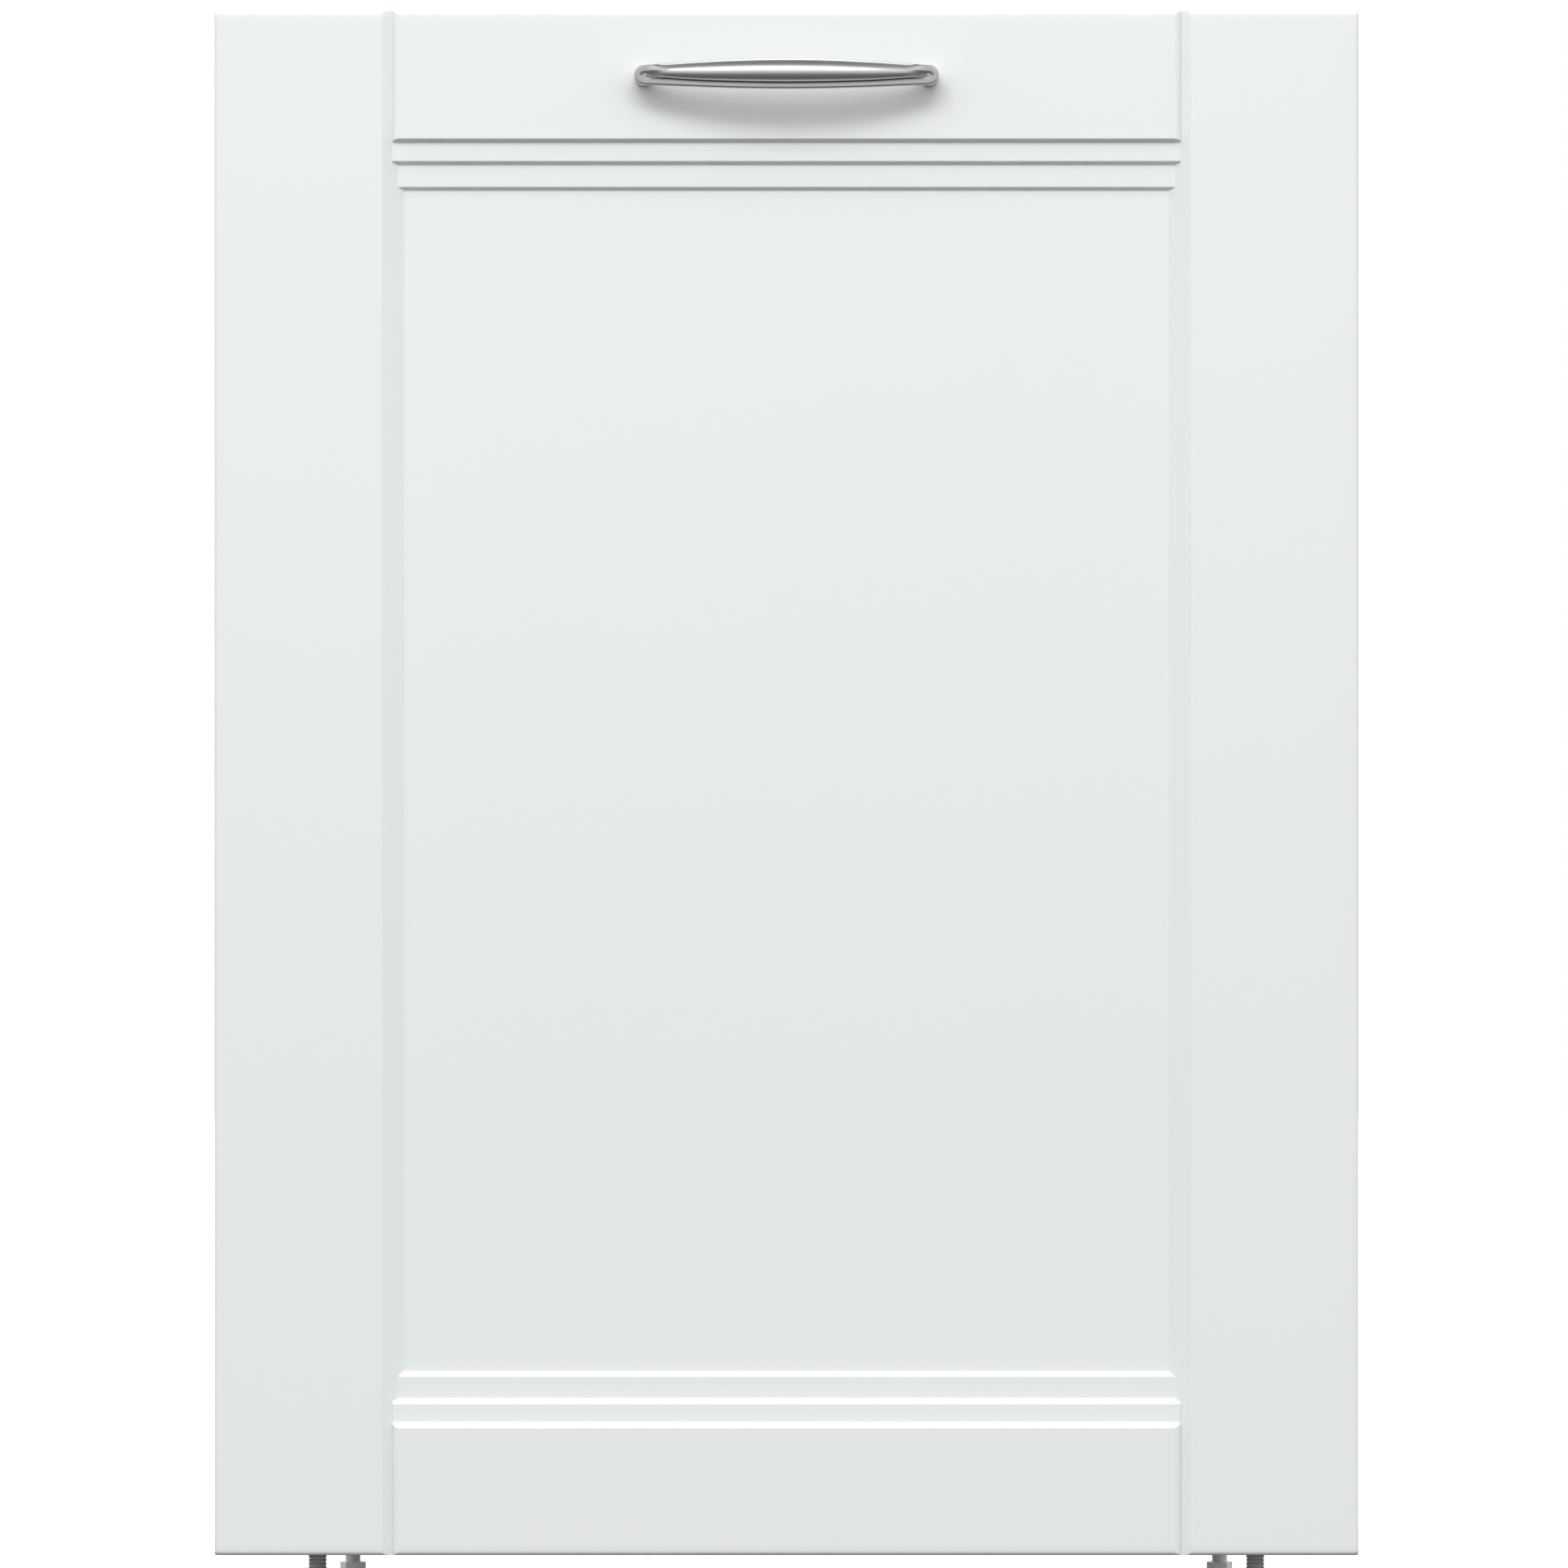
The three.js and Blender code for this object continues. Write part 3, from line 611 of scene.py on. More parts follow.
@dataclass
class BowPull:
    """Satin pull: a bowed bar that sinks into a pocket at each end, with a flat lip, on two round posts."""

    node: str = "handle"
    post: float = 9.7
    tall: float = 16.0
    strip: float = 3.4
    crown: float = 4.5
    sunk: float = 2.4
    lip_round: float = 1.1
    lip_wide: float = 2.3
    lip_gain: float = 0.7
    groove: float = 0.7
    fullness: float = 0.76
    rim_wide: float = 3.3
    pocket_depth: float = 3.4
    pocket_end: float = 76.2
    sink_start: float = 61.0
    sink_run: float = 12.0

    def __post_init__(self) -> None:
        """Reads the pull's box from the frame, in millimetres."""
        xs, ys, zs = span(self.node)
        self.half, self.front, self.rear = xs[1], ys[0], ys[1]
        self.foot_x = self.half - self.post / 2
        self.middle_z = sum(zs) / 2

    def half_tall(self, x: np.ndarray) -> np.ndarray:
        """Half the pull's height at a place along it."""
        reach = np.cos(np.minimum(np.abs(x), self.foot_x) / self.half * QUARTER)
        beyond = np.clip((np.abs(x) - self.foot_x) / (self.post / 2), 0.0, 1.0)
        return (self.post + (self.tall - self.post) * reach) / 2 * np.sqrt(1.0 - beyond**2)

    def plane(self, x: np.ndarray) -> np.ndarray:
        """Place on y of the lip's flat face."""
        middle, end = self.front + self.crown + 0.05, self.rear - 14.4
        return end + (middle - end) * np.maximum(1.0 - (x / self.half) ** 2, 0.0) ** 0.9

    def lip_top(self, x: np.ndarray) -> np.ndarray:
        """Height over the middle at which the lip ends and the groove under the bar starts."""
        half = self.half_tall(x)
        wide = self.lip_wide + self.lip_gain * ease((np.abs(x) - 40.0) / 34.0)
        return np.minimum(wide - half, 0.5 * half)

    def face(self, x: np.ndarray, z: np.ndarray) -> np.ndarray:
        """Place on y of the front at each spot.

        Args:
            x: places along the pull.
            z: heights over its middle.
        Returns:
            The front's place on y.
        """
        u, half, low = np.abs(x), self.half_tall(x), self.lip_top(x)
        edge = np.where(u > self.foot_x, self.post / 2 - np.hypot(u - self.foot_x, z), half - np.abs(z))
        back = self.lip_round - np.clip(edge, 0.0, self.lip_round)
        lip = self.lip_round - np.sqrt(np.maximum(self.lip_round**2 - back**2, 0.0))
        base = low + self.groove
        share = np.clip((z - base) / np.maximum(half - base, 0.01), 0.0, 1.0) ** self.fullness
        section = np.sqrt(np.maximum(1.0 - (2.0 * share - 1.0) ** 2, 0.0))
        swell = self.sunk + self.crown * (0.38 + 0.62 * np.cos(x / self.half * QUARTER))
        bar = self.sunk * ease((z - low) / 0.3) - swell * section
        under_rim = np.clip((z - low) / np.maximum(half - self.rim_wide - low, 0.01), 0.0, 1.0)
        pocket = lip + self.pocket_depth * (1.0 - under_rim) * ease((z - low) / 0.5)
        sink = ease((u - self.sink_start) / self.sink_run)
        body = bar * (1.0 - sink) + pocket * sink
        wall = ease((self.pocket_end - 0.35 * z**2 - u) / 0.7)
        return self.plane(x) + np.where(z > low + 0.001, body * wall + lip * (1.0 - wall), lip)

    def build(self) -> bpy.types.Object:
        """Skins the bar and stands it on its posts."""
        along = self.half * np.sin(QUARTER * np.linspace(-1.0, 1.0, 241))
        low_rows, groove_rows, bar_rows = 18, 6, 56
        rows = np.arange(low_rows + groove_rows + bar_rows + 1)
        gx, row = np.meshgrid(along, rows, indexing="ij")
        half, low = self.half_tall(gx), self.lip_top(gx)
        base = np.minimum(low + self.groove, 0.7 * half)
        first = -half + (low + half) * (1.0 - np.cos(QUARTER * np.minimum(row / low_rows, 1.0)))
        second = (base - low) * np.clip((row - low_rows) / groove_rows, 0.0, 1.0)
        turn = np.clip((row - low_rows - groove_rows) / bar_rows, 0.0, 1.0)
        third = (half - base) * (1.0 - np.cos(math.pi * turn)) / 2.0
        gz = first + second + third
        gv = np.clip(gz / np.maximum(half, 0.001), -1.0, 1.0)
        front = self.face(gx, gz)
        gusset = 5.0 * ease((np.abs(gx) - 58.0) / 11.0)
        rear = self.plane(gx) + self.sunk + (self.strip - self.sunk + gusset) * np.sqrt(1.0 - gv**2)
        rear = np.maximum(rear, front + 0.02)
        rear[:, 0] = front[:, 0] = np.maximum(front[:, 0], rear[:, 0])
        rear[:, -1] = front[:, -1] = np.maximum(front[:, -1], rear[:, -1])
        height = self.middle_z + gz
        last = len(rows) - 1
        rings = []
        for i in range(len(along)):
            ring = [(gx[i, k], front[i, k], height[i, k]) for k in range(last + 1)]
            rings.append(ring + [(gx[i, k], rear[i, k], height[i, k]) for k in range(last - 1, 0, -1)])
        form = Form().add(*loft(rings))
        for side in (-1, 1):
            start = float(self.plane(np.array(self.foot_x))) + 1.6
            radius = self.post / 2
            form.lathe("y", (side * self.foot_x, 0, self.middle_z), [
                (start, radius - 0.6), (start + 1, radius - 0.1), (self.rear - 1.2, radius - 0.1),
                (self.rear - 0.9, radius), (self.rear, radius),
            ], 40)
        return place("bow_pull", form, Stock.NICKEL, "door", self.node, sharp=40.0)


def ease(value: np.ndarray) -> np.ndarray:
    """Eases shares from 0 to 1."""
    t = np.clip(value, 0.0, 1.0)
    return t * t * (3.0 - 2.0 * t)


def outward_normals(mesh: bpy.types.Mesh) -> None:
    """Turns every face of a closed mesh outwards."""
    work = bmesh.new()
    work.from_mesh(mesh)
    bmesh.ops.remove_doubles(work, verts=work.verts, dist=1e-6)
    bmesh.ops.delete(work, geom=[v for v in work.verts if not v.link_faces], context="VERTS")
    bmesh.ops.recalc_face_normals(work, faces=work.faces)
    work.to_mesh(mesh)
    work.free()
    mesh.update()


# ---------------- shapes in millimetres

Span = tuple[float, float]
Place = Callable[[float, float, float], Point]


def span(node: str) -> tuple[Span, Span, Span]:
    """Limits of a CAD node on x, y and z, in millimetres."""
    low, high = corners(node)
    return tuple((a / MM, b / MM) for a, b in zip(low, high))


def sided(side: int, near: float, far: float, start: float = 0.0) -> Span:
    """Stretch between two distances from a place, to one side of it, in rising order."""
    first, second = sorted((start + side * near, start + side * far))
    return first, second


def turned(axis: str, centre: Point, along: float, u: float, v: float) -> Point:
    """A point given along an axis through a centre and by its two offsets across it."""
    x, y, z = centre
    return {
        "x": (x + along, y + u, z + v), "y": (x + u, y + along, z + v), "z": (x + u, y + v, z + along)
    }[axis]


class Form:
    """Points and faces of a mesh in the making, in millimetres."""

    def __init__(self) -> None:
        """Starts empty."""
        self.points: list[Point] = []
        self.faces: list[tuple[int, ...]] = []

    def add(self, points: Iterable[Point], faces: Iterable[Sequence[int]]) -> "Form":
        """Adds points and the faces between them."""
        start = len(self.points)
        self.points += [tuple(p) for p in points]
        self.faces += [tuple(start + i for i in face) for face in faces]
        return self

    def brick(self, xs: Span, ys: Span, zs: Span, soft: float = 1.0) -> "Form":
        """Adds a block with rounded edges.

        Args:
            xs: its limits on x.
            ys: its limits on y.
            zs: its limits on z.
            soft: radius of its edges.
        Returns:
            This form.
        """
        work = bmesh.new()
        bmesh.ops.create_cube(work, size=1.0)
        for vert in work.verts:
            vert.co = Vector([lo + (c + 0.5) * (hi - lo) for c, (lo, hi) in zip(vert.co, (xs, ys, zs))])
        bmesh.ops.bevel(
            work, geom=work.edges[:], offset=soft, segments=2, profile=0.5, affect="EDGES", clamp_overlap=True
        )
        work.verts.index_update()
        self.add([v.co[:] for v in work.verts], [[v.index for v in f.verts] for f in work.faces])
        work.free()
        return self

    def lathe(
        self, axis: str, centre: Point, profile: Sequence[Span], sides: int = 24, ring: bool = False,
        wave: Callable[[int, float], float] = lambda i, r: r,
    ) -> "Form":
        """Turns a profile round an axis.

        Args:
            axis: x, y or z.
            centre: a point on the axis.
            profile: pairs of place along the axis and radius.
            sides: how many sides.
            ring: whether the profile closes on itself, as a tyre's does.
            wave: changes the radius at each side.
        Returns:
            This form.
        """
        rings = []
        for along, radius in profile:
            spots = [(wave(i, radius), 2 * math.pi * i / sides) for i in range(sides)]
            rings.append([turned(axis, centre, along, r * math.cos(t), r * math.sin(t)) for r, t in spots])
        points, faces = loft(rings)
        if ring:
            last = (len(rings) - 1) * sides
            faces = faces[:-2] + [
                (last + i, last + (i + 1) % sides, (i + 1) % sides, i) for i in range(sides)
            ]
        return self.add(points, faces)

    def hoop(self, axis: str, centre: Point, at: float, half: float, radii: Span, sides: int) -> "Form":
        """Adds a flat hoop round an axis, half as wide each way, between its inner and outer radius."""
        inner, outer = radii
        profile = [(at - half, inner), (at - half, outer), (at + half, outer), (at + half, inner)]
        return self.lathe(axis, centre, profile, sides, ring=True)

    def sheet(
        self, place: Place, us: Sequence[float], vs: Sequence[float],
        rise: Callable[[np.ndarray, np.ndarray], np.ndarray], thick: float,
        window: tuple[Span, Span] | None = None,
    ) -> "Form":
        """Adds a pressed sheet.

        Args:
            place: turns a spot on the sheet and its height into a point.
            us: grid lines one way.
            vs: grid lines the other way.
            rise: height of the sheet's face over its plane.
            thick: thickness behind the face.
            window: limits of an opening through it.
        Returns:
            This form.
        """
        gu, gv = np.meshgrid(us, vs)
        height = rise(gu, gv)
        nu, nv = len(us), len(vs)
        spots = list(zip(gu.ravel(), gv.ravel(), height.ravel()))
        points = [place(u, v, w) for u, v, w in spots] + [place(u, v, w - thick) for u, v, w in spots]
        back = nu * nv
        kept = set()
        for r in range(nv - 1):
            for c in range(nu - 1):
                u, v = (us[c] + us[c + 1]) / 2, (vs[r] + vs[r + 1]) / 2
                if window is None or not (
                    window[0][0] < u < window[0][1] and window[1][0] < v < window[1][1]
                ):
                    kept.add((r, c))
        faces = []
        for r, c in sorted(kept):
            quad = (r * nu + c, r * nu + c + 1, (r + 1) * nu + c + 1, (r + 1) * nu + c)
            faces += [quad, tuple(back + i for i in quad[::-1])]
            beside = ((r - 1, c), (r, c + 1), (r + 1, c), (r, c - 1))
            for side, spot in enumerate(beside):
                if spot not in kept:
                    a, b = quad[side], quad[(side + 1) % 4]
                    faces.append((b, a, back + a, back + b))
        return self.add(points, faces)

    def mesh(self, name: str) -> bpy.types.Mesh:
        """The finished mesh in metres, with its faces turned outwards."""
        mesh = mesh_from(name, [tuple(c * MM for c in p) for p in self.points], self.faces)
        outward_normals(mesh)
        return mesh


def plain_mesh(name: str, shape: Form | bpy.types.Mesh) -> bpy.types.Mesh:
    """The mesh of a form, or a mesh as it is."""
    return shape.mesh(name) if isinstance(shape, Form) else shape


def combine(name: str, *shapes: Form | bpy.types.Mesh) -> bpy.types.Mesh:
    """Puts several forms and meshes into one mesh."""
    work = bmesh.new()
    for shape in shapes:
        work.from_mesh(plain_mesh(name, shape))
    result = bpy.data.meshes.new(name)
    work.to_mesh(result)
    work.free()
    return result


def rounded_outline(xs: Span, zs: Span, radius: float, turns: int = 6) -> list[Span]:
    """Points round a rectangle with rounded corners.

    Args:
        xs: its limits across.
        zs: its limits up.
        radius: of its corners.
        turns: steps round each corner.
    Returns:
        The points, from the right end of its top corner on.
    """
    outline = []
    corner_spots = ((xs[1], zs[1], 0), (xs[0], zs[1], 1), (xs[0], zs[0], 2), (xs[1], zs[0], 3))
    for x, z, quarter in corner_spots:
        cx = x - radius if quarter in (0, 3) else x + radius
        cz = z - radius if quarter in (0, 1) else z + radius
        for i in range(turns + 1):
            t = QUARTER * (quarter + i / turns)
            outline.append((cx + radius * math.cos(t), cz + radius * math.sin(t)))
    return outline


def beads(lines: np.ndarray, centres: Sequence[float], half: float, height: float) -> np.ndarray:
    """Rounded ridges along straight lines.

    Args:
        lines: distance across at each grid spot.
        centres: where the ridges run.
        half: half the width of a ridge.
        height: how far it stands up.
    Returns:
        Height at each grid spot.
    """
    total = np.zeros_like(lines)
    for centre in centres:
        t = np.clip(1 - np.abs(lines - centre) / half, 0, 1)
        total += height * t * t * (3 - 2 * t)
    return total


def fade(value: np.ndarray, low: float, high: float, soft: float) -> np.ndarray:
    """1 between low and high, easing to 0 outside."""
    t = np.clip(np.minimum(value - low, high - value) / soft, 0, 1)
    return t * t * (3 - 2 * t)


def grid_lines(low: float, high: float, pitch: float) -> np.ndarray:
    """Evenly spaced grid lines about a pitch apart."""
    return np.linspace(low, high, max(2, round((high - low) / pitch) + 1))


# ---------------- geometry nodes


class Growth:
    """A Geometry Nodes tree with named inputs, run once on a seed mesh."""

    def __init__(self, name: str, inputs: dict[str, tuple[str, Any]]) -> None:
        """Makes the tree and its inputs.

        Args:
            name: the tree's name.
            inputs: input name to socket type and value.
        """
        self.tree = bpy.data.node_groups.new(name, "GeometryNodeTree")
        face = self.tree.interface
        face.new_socket("Geometry", in_out="INPUT", socket_type="NodeSocketGeometry")
        for key, (kind, _) in inputs.items():
            face.new_socket(key, in_out="INPUT", socket_type=kind)
        face.new_socket("Geometry", in_out="OUTPUT", socket_type="NodeSocketGeometry")
        self.values = {key: value for key, (_, value) in inputs.items()}
        self.start = self.tree.nodes.new("NodeGroupInput")

    def given(self, name: str) -> bpy.types.NodeSocket:
        """Output of the tree's input with this name."""
        return self.start.outputs[name]

    def node(
        self, kind: str, settings: dict[str, Any], inputs: dict[Any, Any], output: Any = 0
    ) -> bpy.types.NodeSocket:
        """Adds any node and hands back one of its outputs."""
        made = self.tree.nodes.new(kind)
        for key, setting in settings.items():
            setattr(made, key, setting)
        for key, value in inputs.items():
            if isinstance(value, bpy.types.NodeSocket):
                self.tree.links.new(value, made.inputs[key])
            else:
                made.inputs[key].default_value = value
        return made.outputs[output]

    def grow(self, seed: bpy.types.Mesh, result: bpy.types.NodeSocket, stock: Stock) -> bpy.types.Mesh:
        """Ends the tree and runs it.

        Args:
            seed: the mesh that it starts from.
            result: the geometry that it ends with.
            stock: the finish that it sets.
        Returns:
            A plain mesh.
        """
        whole = self.node("GeometryNodeRealizeInstances", {}, {"Geometry": result})
        dressed = self.node("GeometryNodeSetMaterial", {}, {"Geometry": whole, "Material": finish_of(stock)})
        end = self.tree.nodes.new("NodeGroupOutput")
        self.tree.links.new(dressed, end.inputs[0])
        holder = bpy.data.objects.new(seed.name, seed)
        link(holder)
        modifier = holder.modifiers.new("grow", "NODES")
        modifier.node_group = self.tree
        for item in self.tree.interface.items_tree:
            if item.in_out == "INPUT" and item.name in self.values:
                modifier[item.identifier] = self.values[item.name]
        graph = bpy.context.evaluated_depsgraph_get()
        mesh = bpy.data.meshes.new_from_object(holder.evaluated_get(graph))
        holder.modifiers.clear()
        bpy.data.objects.remove(holder)
        return mesh


Path = tuple[list[Point], bool]


def wires(
    name: str, paths: Sequence[Path], radius: float, bend: float, stock: Stock, sides: int = 8
) -> bpy.types.Mesh:
    """Bends round wire along paths.

    Args:
        name: the mesh's name.
        paths: points in millimetres and whether each path closes on itself.
        radius: of the wire.
        bend: inside radius of its corners.
        stock: its finish.
        sides: sides of its section.
    Returns:
        The mesh in metres.
    """
    points: list[Point] = []
    edges: list[tuple[int, int]] = []
    for path, closed in paths:
        start = len(points)
        points += [tuple(c * MM for c in p) for p in path]
        edges += [(start + i, start + i + 1) for i in range(len(path) - 1)]
        if closed:
            edges.append((len(points) - 1, start))
    seed = bpy.data.meshes.new(name)
    seed.from_pydata(points, edges, [])
    growth = Growth("bent_wire", {
        "Wire Radius": ("NodeSocketFloat", radius * MM),
        "Bend Radius": ("NodeSocketFloat", bend * MM),
        "Sides": ("NodeSocketInt", sides),
    })
    line = growth.node("GeometryNodeMeshToCurve", {}, {"Mesh": growth.given("Geometry")})
    if bend > 0:
        line = growth.node("GeometryNodeFilletCurve", {"mode": "POLY"}, {
            "Curve": line, "Radius": growth.given("Bend Radius"), "Limit Radius": True, "Count": 4,
        })
    round_line = growth.node("GeometryNodeCurvePrimitiveCircle", {}, {
        "Resolution": growth.given("Sides"), "Radius": growth.given("Wire Radius"),
    })
    skin = growth.node(
        "GeometryNodeCurveToMesh", {}, {"Curve": line, "Profile Curve": round_line, "Fill Caps": True}
    )
    mesh = growth.grow(seed, skin, stock)
    outward_normals(mesh)
    return mesh


def scatter(
    name: str, shape: Form, spots: Sequence[tuple[Point, Point]], stock: Stock
) -> bpy.types.Mesh:
    """Sets copies of a small shape at given spots.

    Args:
        name: the mesh's name.
        shape: the shape, round its own origin, in millimetres.
        spots: place in millimetres and turn in radians of each copy.
        stock: its finish.
    Returns:
        The mesh in metres, welded where copies share an edge.
    """
    seed = bpy.data.meshes.new(name)
    seed.from_pydata([tuple(c * MM for c in spot) for spot, _ in spots], [], [])
    turn = seed.attributes.new("turn", "FLOAT_VECTOR", "POINT")
    turn.data.foreach_set("vector", [c for _, angles in spots for c in angles])
    original = bpy.data.objects.new(name + "_shape", shape.mesh(name + "_shape"))
    growth = Growth("scattered", {
        "Shape": ("NodeSocketObject", original),
        "Weld Distance": ("NodeSocketFloat", 0.02 * MM),
    })
    angles = growth.node("GeometryNodeInputNamedAttribute", {"data_type": "FLOAT_VECTOR"}, {"Name": "turn"})
    copy = growth.node("GeometryNodeObjectInfo", {}, {"Object": growth.given("Shape")}, "Geometry")
    placed = growth.node("GeometryNodeInstanceOnPoints", {}, {
        "Points": growth.given("Geometry"), "Instance": copy, "Rotation": angles,
    })
    whole = growth.node("GeometryNodeRealizeInstances", {}, {"Geometry": placed})
    welded = growth.node(
        "GeometryNodeMergeByDistance", {}, {"Geometry": whole, "Distance": growth.given("Weld Distance")}
    )
    mesh = growth.grow(seed, welded, stock)
    bpy.data.objects.remove(original)
    return mesh


FACING = {
    "up": (0.0, 0.0, 0.0), "down": (math.pi, 0.0, 0.0),
    "front": (QUARTER, 0.0, 0.0), "back": (-QUARTER, 0.0, 0.0),
    "right": (0.0, QUARTER, 0.0), "left": (0.0, -QUARTER, 0.0),
}


def screw_head(radius: float = 4.0, tall: float = 2.2) -> Form:
    """Pan head with a star recess, standing on its origin and facing up."""

    def star(i: int, r: float) -> float:
        """Pulls every other point of the recess in."""
        return r * (1.0 if i % 2 or r > radius * 0.5 else 0.66)

    profile = [
        (0.0, radius), (tall * 0.35, radius), (tall * 0.8, radius * 0.86), (tall, radius * 0.6),
        (tall, radius * 0.42), (tall * 0.45, radius * 0.38),
    ]
    return Form().lathe("z", (0, 0, 0), profile, 12, wave=star)


def holed_tile(pitch: Span, hole: Span, thick: float) -> Form:
    """Tile with a hole through it, to be welded to its neighbours.

    Args:
        pitch: its size both ways.
        hole: the hole's two half widths.
        thick: its thickness, downwards from its origin.
    Returns:
        The tile.
    """
    half_u, half_v = pitch[0] / 2, pitch[1] / 2
    edge = [(half_u, 0), (half_u, half_v), (0, half_v), (-half_u, half_v)]
    edge += [(-u, -v) for u, v in edge]
    turns = [2 * math.pi * i / 8 for i in range(8)]
    inner = [(hole[0] * math.cos(t), hole[1] * math.sin(t)) for t in turns]
    points = [(*p, w) for w in (0.0, -thick) for p in edge + inner]
    faces = []
    for i in range(8):
        j = (i + 1) % 8
        faces += [(i, j, 8 + j, 8 + i), (16 + j, 16 + i, 24 + i, 24 + j), (8 + i, 8 + j, 24 + j, 24 + i)]
    form = Form()
    form.points, form.faces = points, faces
    return form


# ---------------- racks


@dataclass
class RackMaker:
    """Coated wire racks, their wheels, tines and cup shelves."""

    wire: float = 1.9
    thin: float = 1.4
    bend: float = 12.0

    def basket(
        self, xs: Span, ys: Span, zs: Span, rims: Sequence[float], counts: tuple[int, int],
        stagger: float = 2.2
    ) -> list[Path]:
        """Paths of a wire basket: bent cross wires, bent length wires and rims.

        Args:
            xs: limits on x.
            ys: limits on y.
            zs: limits on z.
            rims: heights of the closed rims.
            counts: number of cross wires and of length wires.
            stagger: how far the length wires lie over the cross wires.
        Returns:
            The paths in millimetres.
        """
        r = self.wire
        (x0, x1), (y0, y1), (z0, z1) = [(lo + r, hi - r) for lo, hi in (xs, ys, zs)]
        slim = self.wire - self.thin
        paths: list[Path] = [
            ([(x0, y0, z - r), (x1, y0, z - r), (x1, y1, z - r), (x0, y1, z - r)], True) for z in rims
        ]
        paths.append(([(x0, y0, z0), (x1, y0, z0), (x1, y1, z0), (x0, y1, z0)], True))
        inner_x0, inner_x1 = x0 + slim, x1 - slim
        for y in np.linspace(y0 + 22, y1 - 22, counts[0]):
            base = z0 - slim
            paths.append(
                ([(inner_x0, y, z1), (inner_x0, y, base), (inner_x1, y, base), (inner_x1, y, z1)], False)
            )
        inner_y0, inner_y1 = y0 + slim, y1 - slim
        for x in np.linspace(x0 + 24, x1 - 24, counts[1]):
            base = z0 + stagger - slim
            paths.append(
                ([(x, inner_y0, z1), (x, inner_y0, base), (x, inner_y1, base), (x, inner_y1, z1)], False)
            )
        return paths

    def lower(self) -> None:
        """Lower rack with its wheel carriers and stub axles."""
        _, ys, zs = span("lower_rack")
        paths = self.basket((-250.0, 250.0), ys, (200.0, zs[1]), (268.0, zs[1]), (15, 10))
        carriers = Form()
        for corner in ("front_left", "front_right", "rear_left", "rear_right"):
            wheel_x, wheel_y, wheel_z = span(f"rack_wheel_{corner}")
            side = 1 if wheel_x[0] > 0 else -1
            y, z = sum(wheel_y) / 2, sum(wheel_z) / 2
            plate = sided(side, 254.0, 257.8)
            carriers.brick(plate, (y - 8, y + 8), (z - 7.5, 225), 1.6)
            carriers.brick(sided(side, 247.0, 256.0), (y - 7.8, y + 7.8), (207, 224), 1.6)
            carriers.lathe("x", (side * 248.0, y, z), [(-7.5, 3.9), (7.5, 3.9)], 16)
        grip = Form().brick((-62, 62), (ys[0] + 0.2, ys[0] + 9), (zs[1] - 17, zs[1] - 0.2), 3.0)
        mesh = combine("lower_rack", wires("rack_wire", paths, self.thin, self.bend, Stock.NYLON),
                       wires("rim_wire", paths[:3], self.wire, self.bend, Stock.NYLON),
                       carriers)
        place("lower_rack_wirework", mesh, Stock.NYLON, "lower_rack", "lower_rack")
        place("lower_rack_grip", grip, Stock.GREY, "lower_rack")

    def upper(self) -> None:
        """Upper rack with its runners."""
        zs = span("upper_rack")[2]
        paths = self.basket((-245.0, 245.0), (-165.0, 255.0), (470.0, zs[1]), (540.0, zs[1]), (15, 10))
        combs = [([(x, y, 472.0), (x, y, 512.0)], False)
                 for x in np.linspace(-150, 150, 7) for y in np.linspace(-120, 210, 14)]
        mesh = combine("upper_rack", wires("rack_wire", paths, self.thin, self.bend, Stock.NYLON),
                       wires("rim_wire", paths[:3], self.wire, self.bend, Stock.NYLON),
                       wires("comb_wire", combs, self.thin, 0.0, Stock.NYLON, 6))
        place("upper_rack_wirework", mesh, Stock.NYLON, "upper_rack", "upper_rack")
        runners = Form()
        for side in (-1, 1):
            outer = sided(side, 269.8, 271.8)
            web = sided(side, 258.2, 271.8)
            runners.brick(outer, (-160, 240), (523.2, 542.8), 0.8)
            runners.brick(web, (-160, 240), (523.2, 525.2), 0.8)
            runners.brick(web, (-160, 240), (540.8, 542.8), 0.8)
            for y in np.linspace(-58, 148, 3):
                runners.brick(sided(side, 243.5, 259.5), (y - 6, y + 6), (526, 540), 1.5)
            for y in np.linspace(-130, 210, 9):
                runners.lathe(
                    "x", (side * 264.6, y, 533), [(-4.6, 4.6), (-3.6, 5.8), (3.6, 5.8), (4.6, 4.6)], 16
                )
        place("upper_rack_runners", runners, Stock.STAINLESS, "upper_rack")
        grip = Form().brick((-58, 58), (-164.8, -156), (593, 609.8), 3.0)
        place("upper_rack_grip", grip, Stock.GREY, "upper_rack")

    def tray(self) -> None:
        """Cutlery tray with a dipped floor and two rows of knife combs."""
        xs, ys, zs = span("cutlery_tray")
        paths = self.basket(xs, ys, zs, (zs[1],), (20, 9))
        combs = [([(x, y, zs[0] + 2), (x, y, zs[0] + 22)], False)
                 for x in (-190, -130, -70, 70, 130, 190) for y in np.linspace(ys[0] + 40, ys[1] - 40, 22)]
        spines = [([(x, ys[0] + 30, zs[0] + 5.2), (x, ys[1] - 30, zs[0] + 5.2)], False)
                  for x in (-190, -130, -70, 70, 130, 190)]
        mesh = combine("cutlery_tray", wires("tray_wire", paths, self.thin, 6.0, Stock.NYLON),
                       wires("tray_comb", combs, 1.2, 0.0, Stock.NYLON, 6),
                       wires("tray_spine", spines, self.wire, 0.0, Stock.NYLON))
        place("cutlery_tray_wirework", mesh, Stock.NYLON, "cutlery_tray", "cutlery_tray")

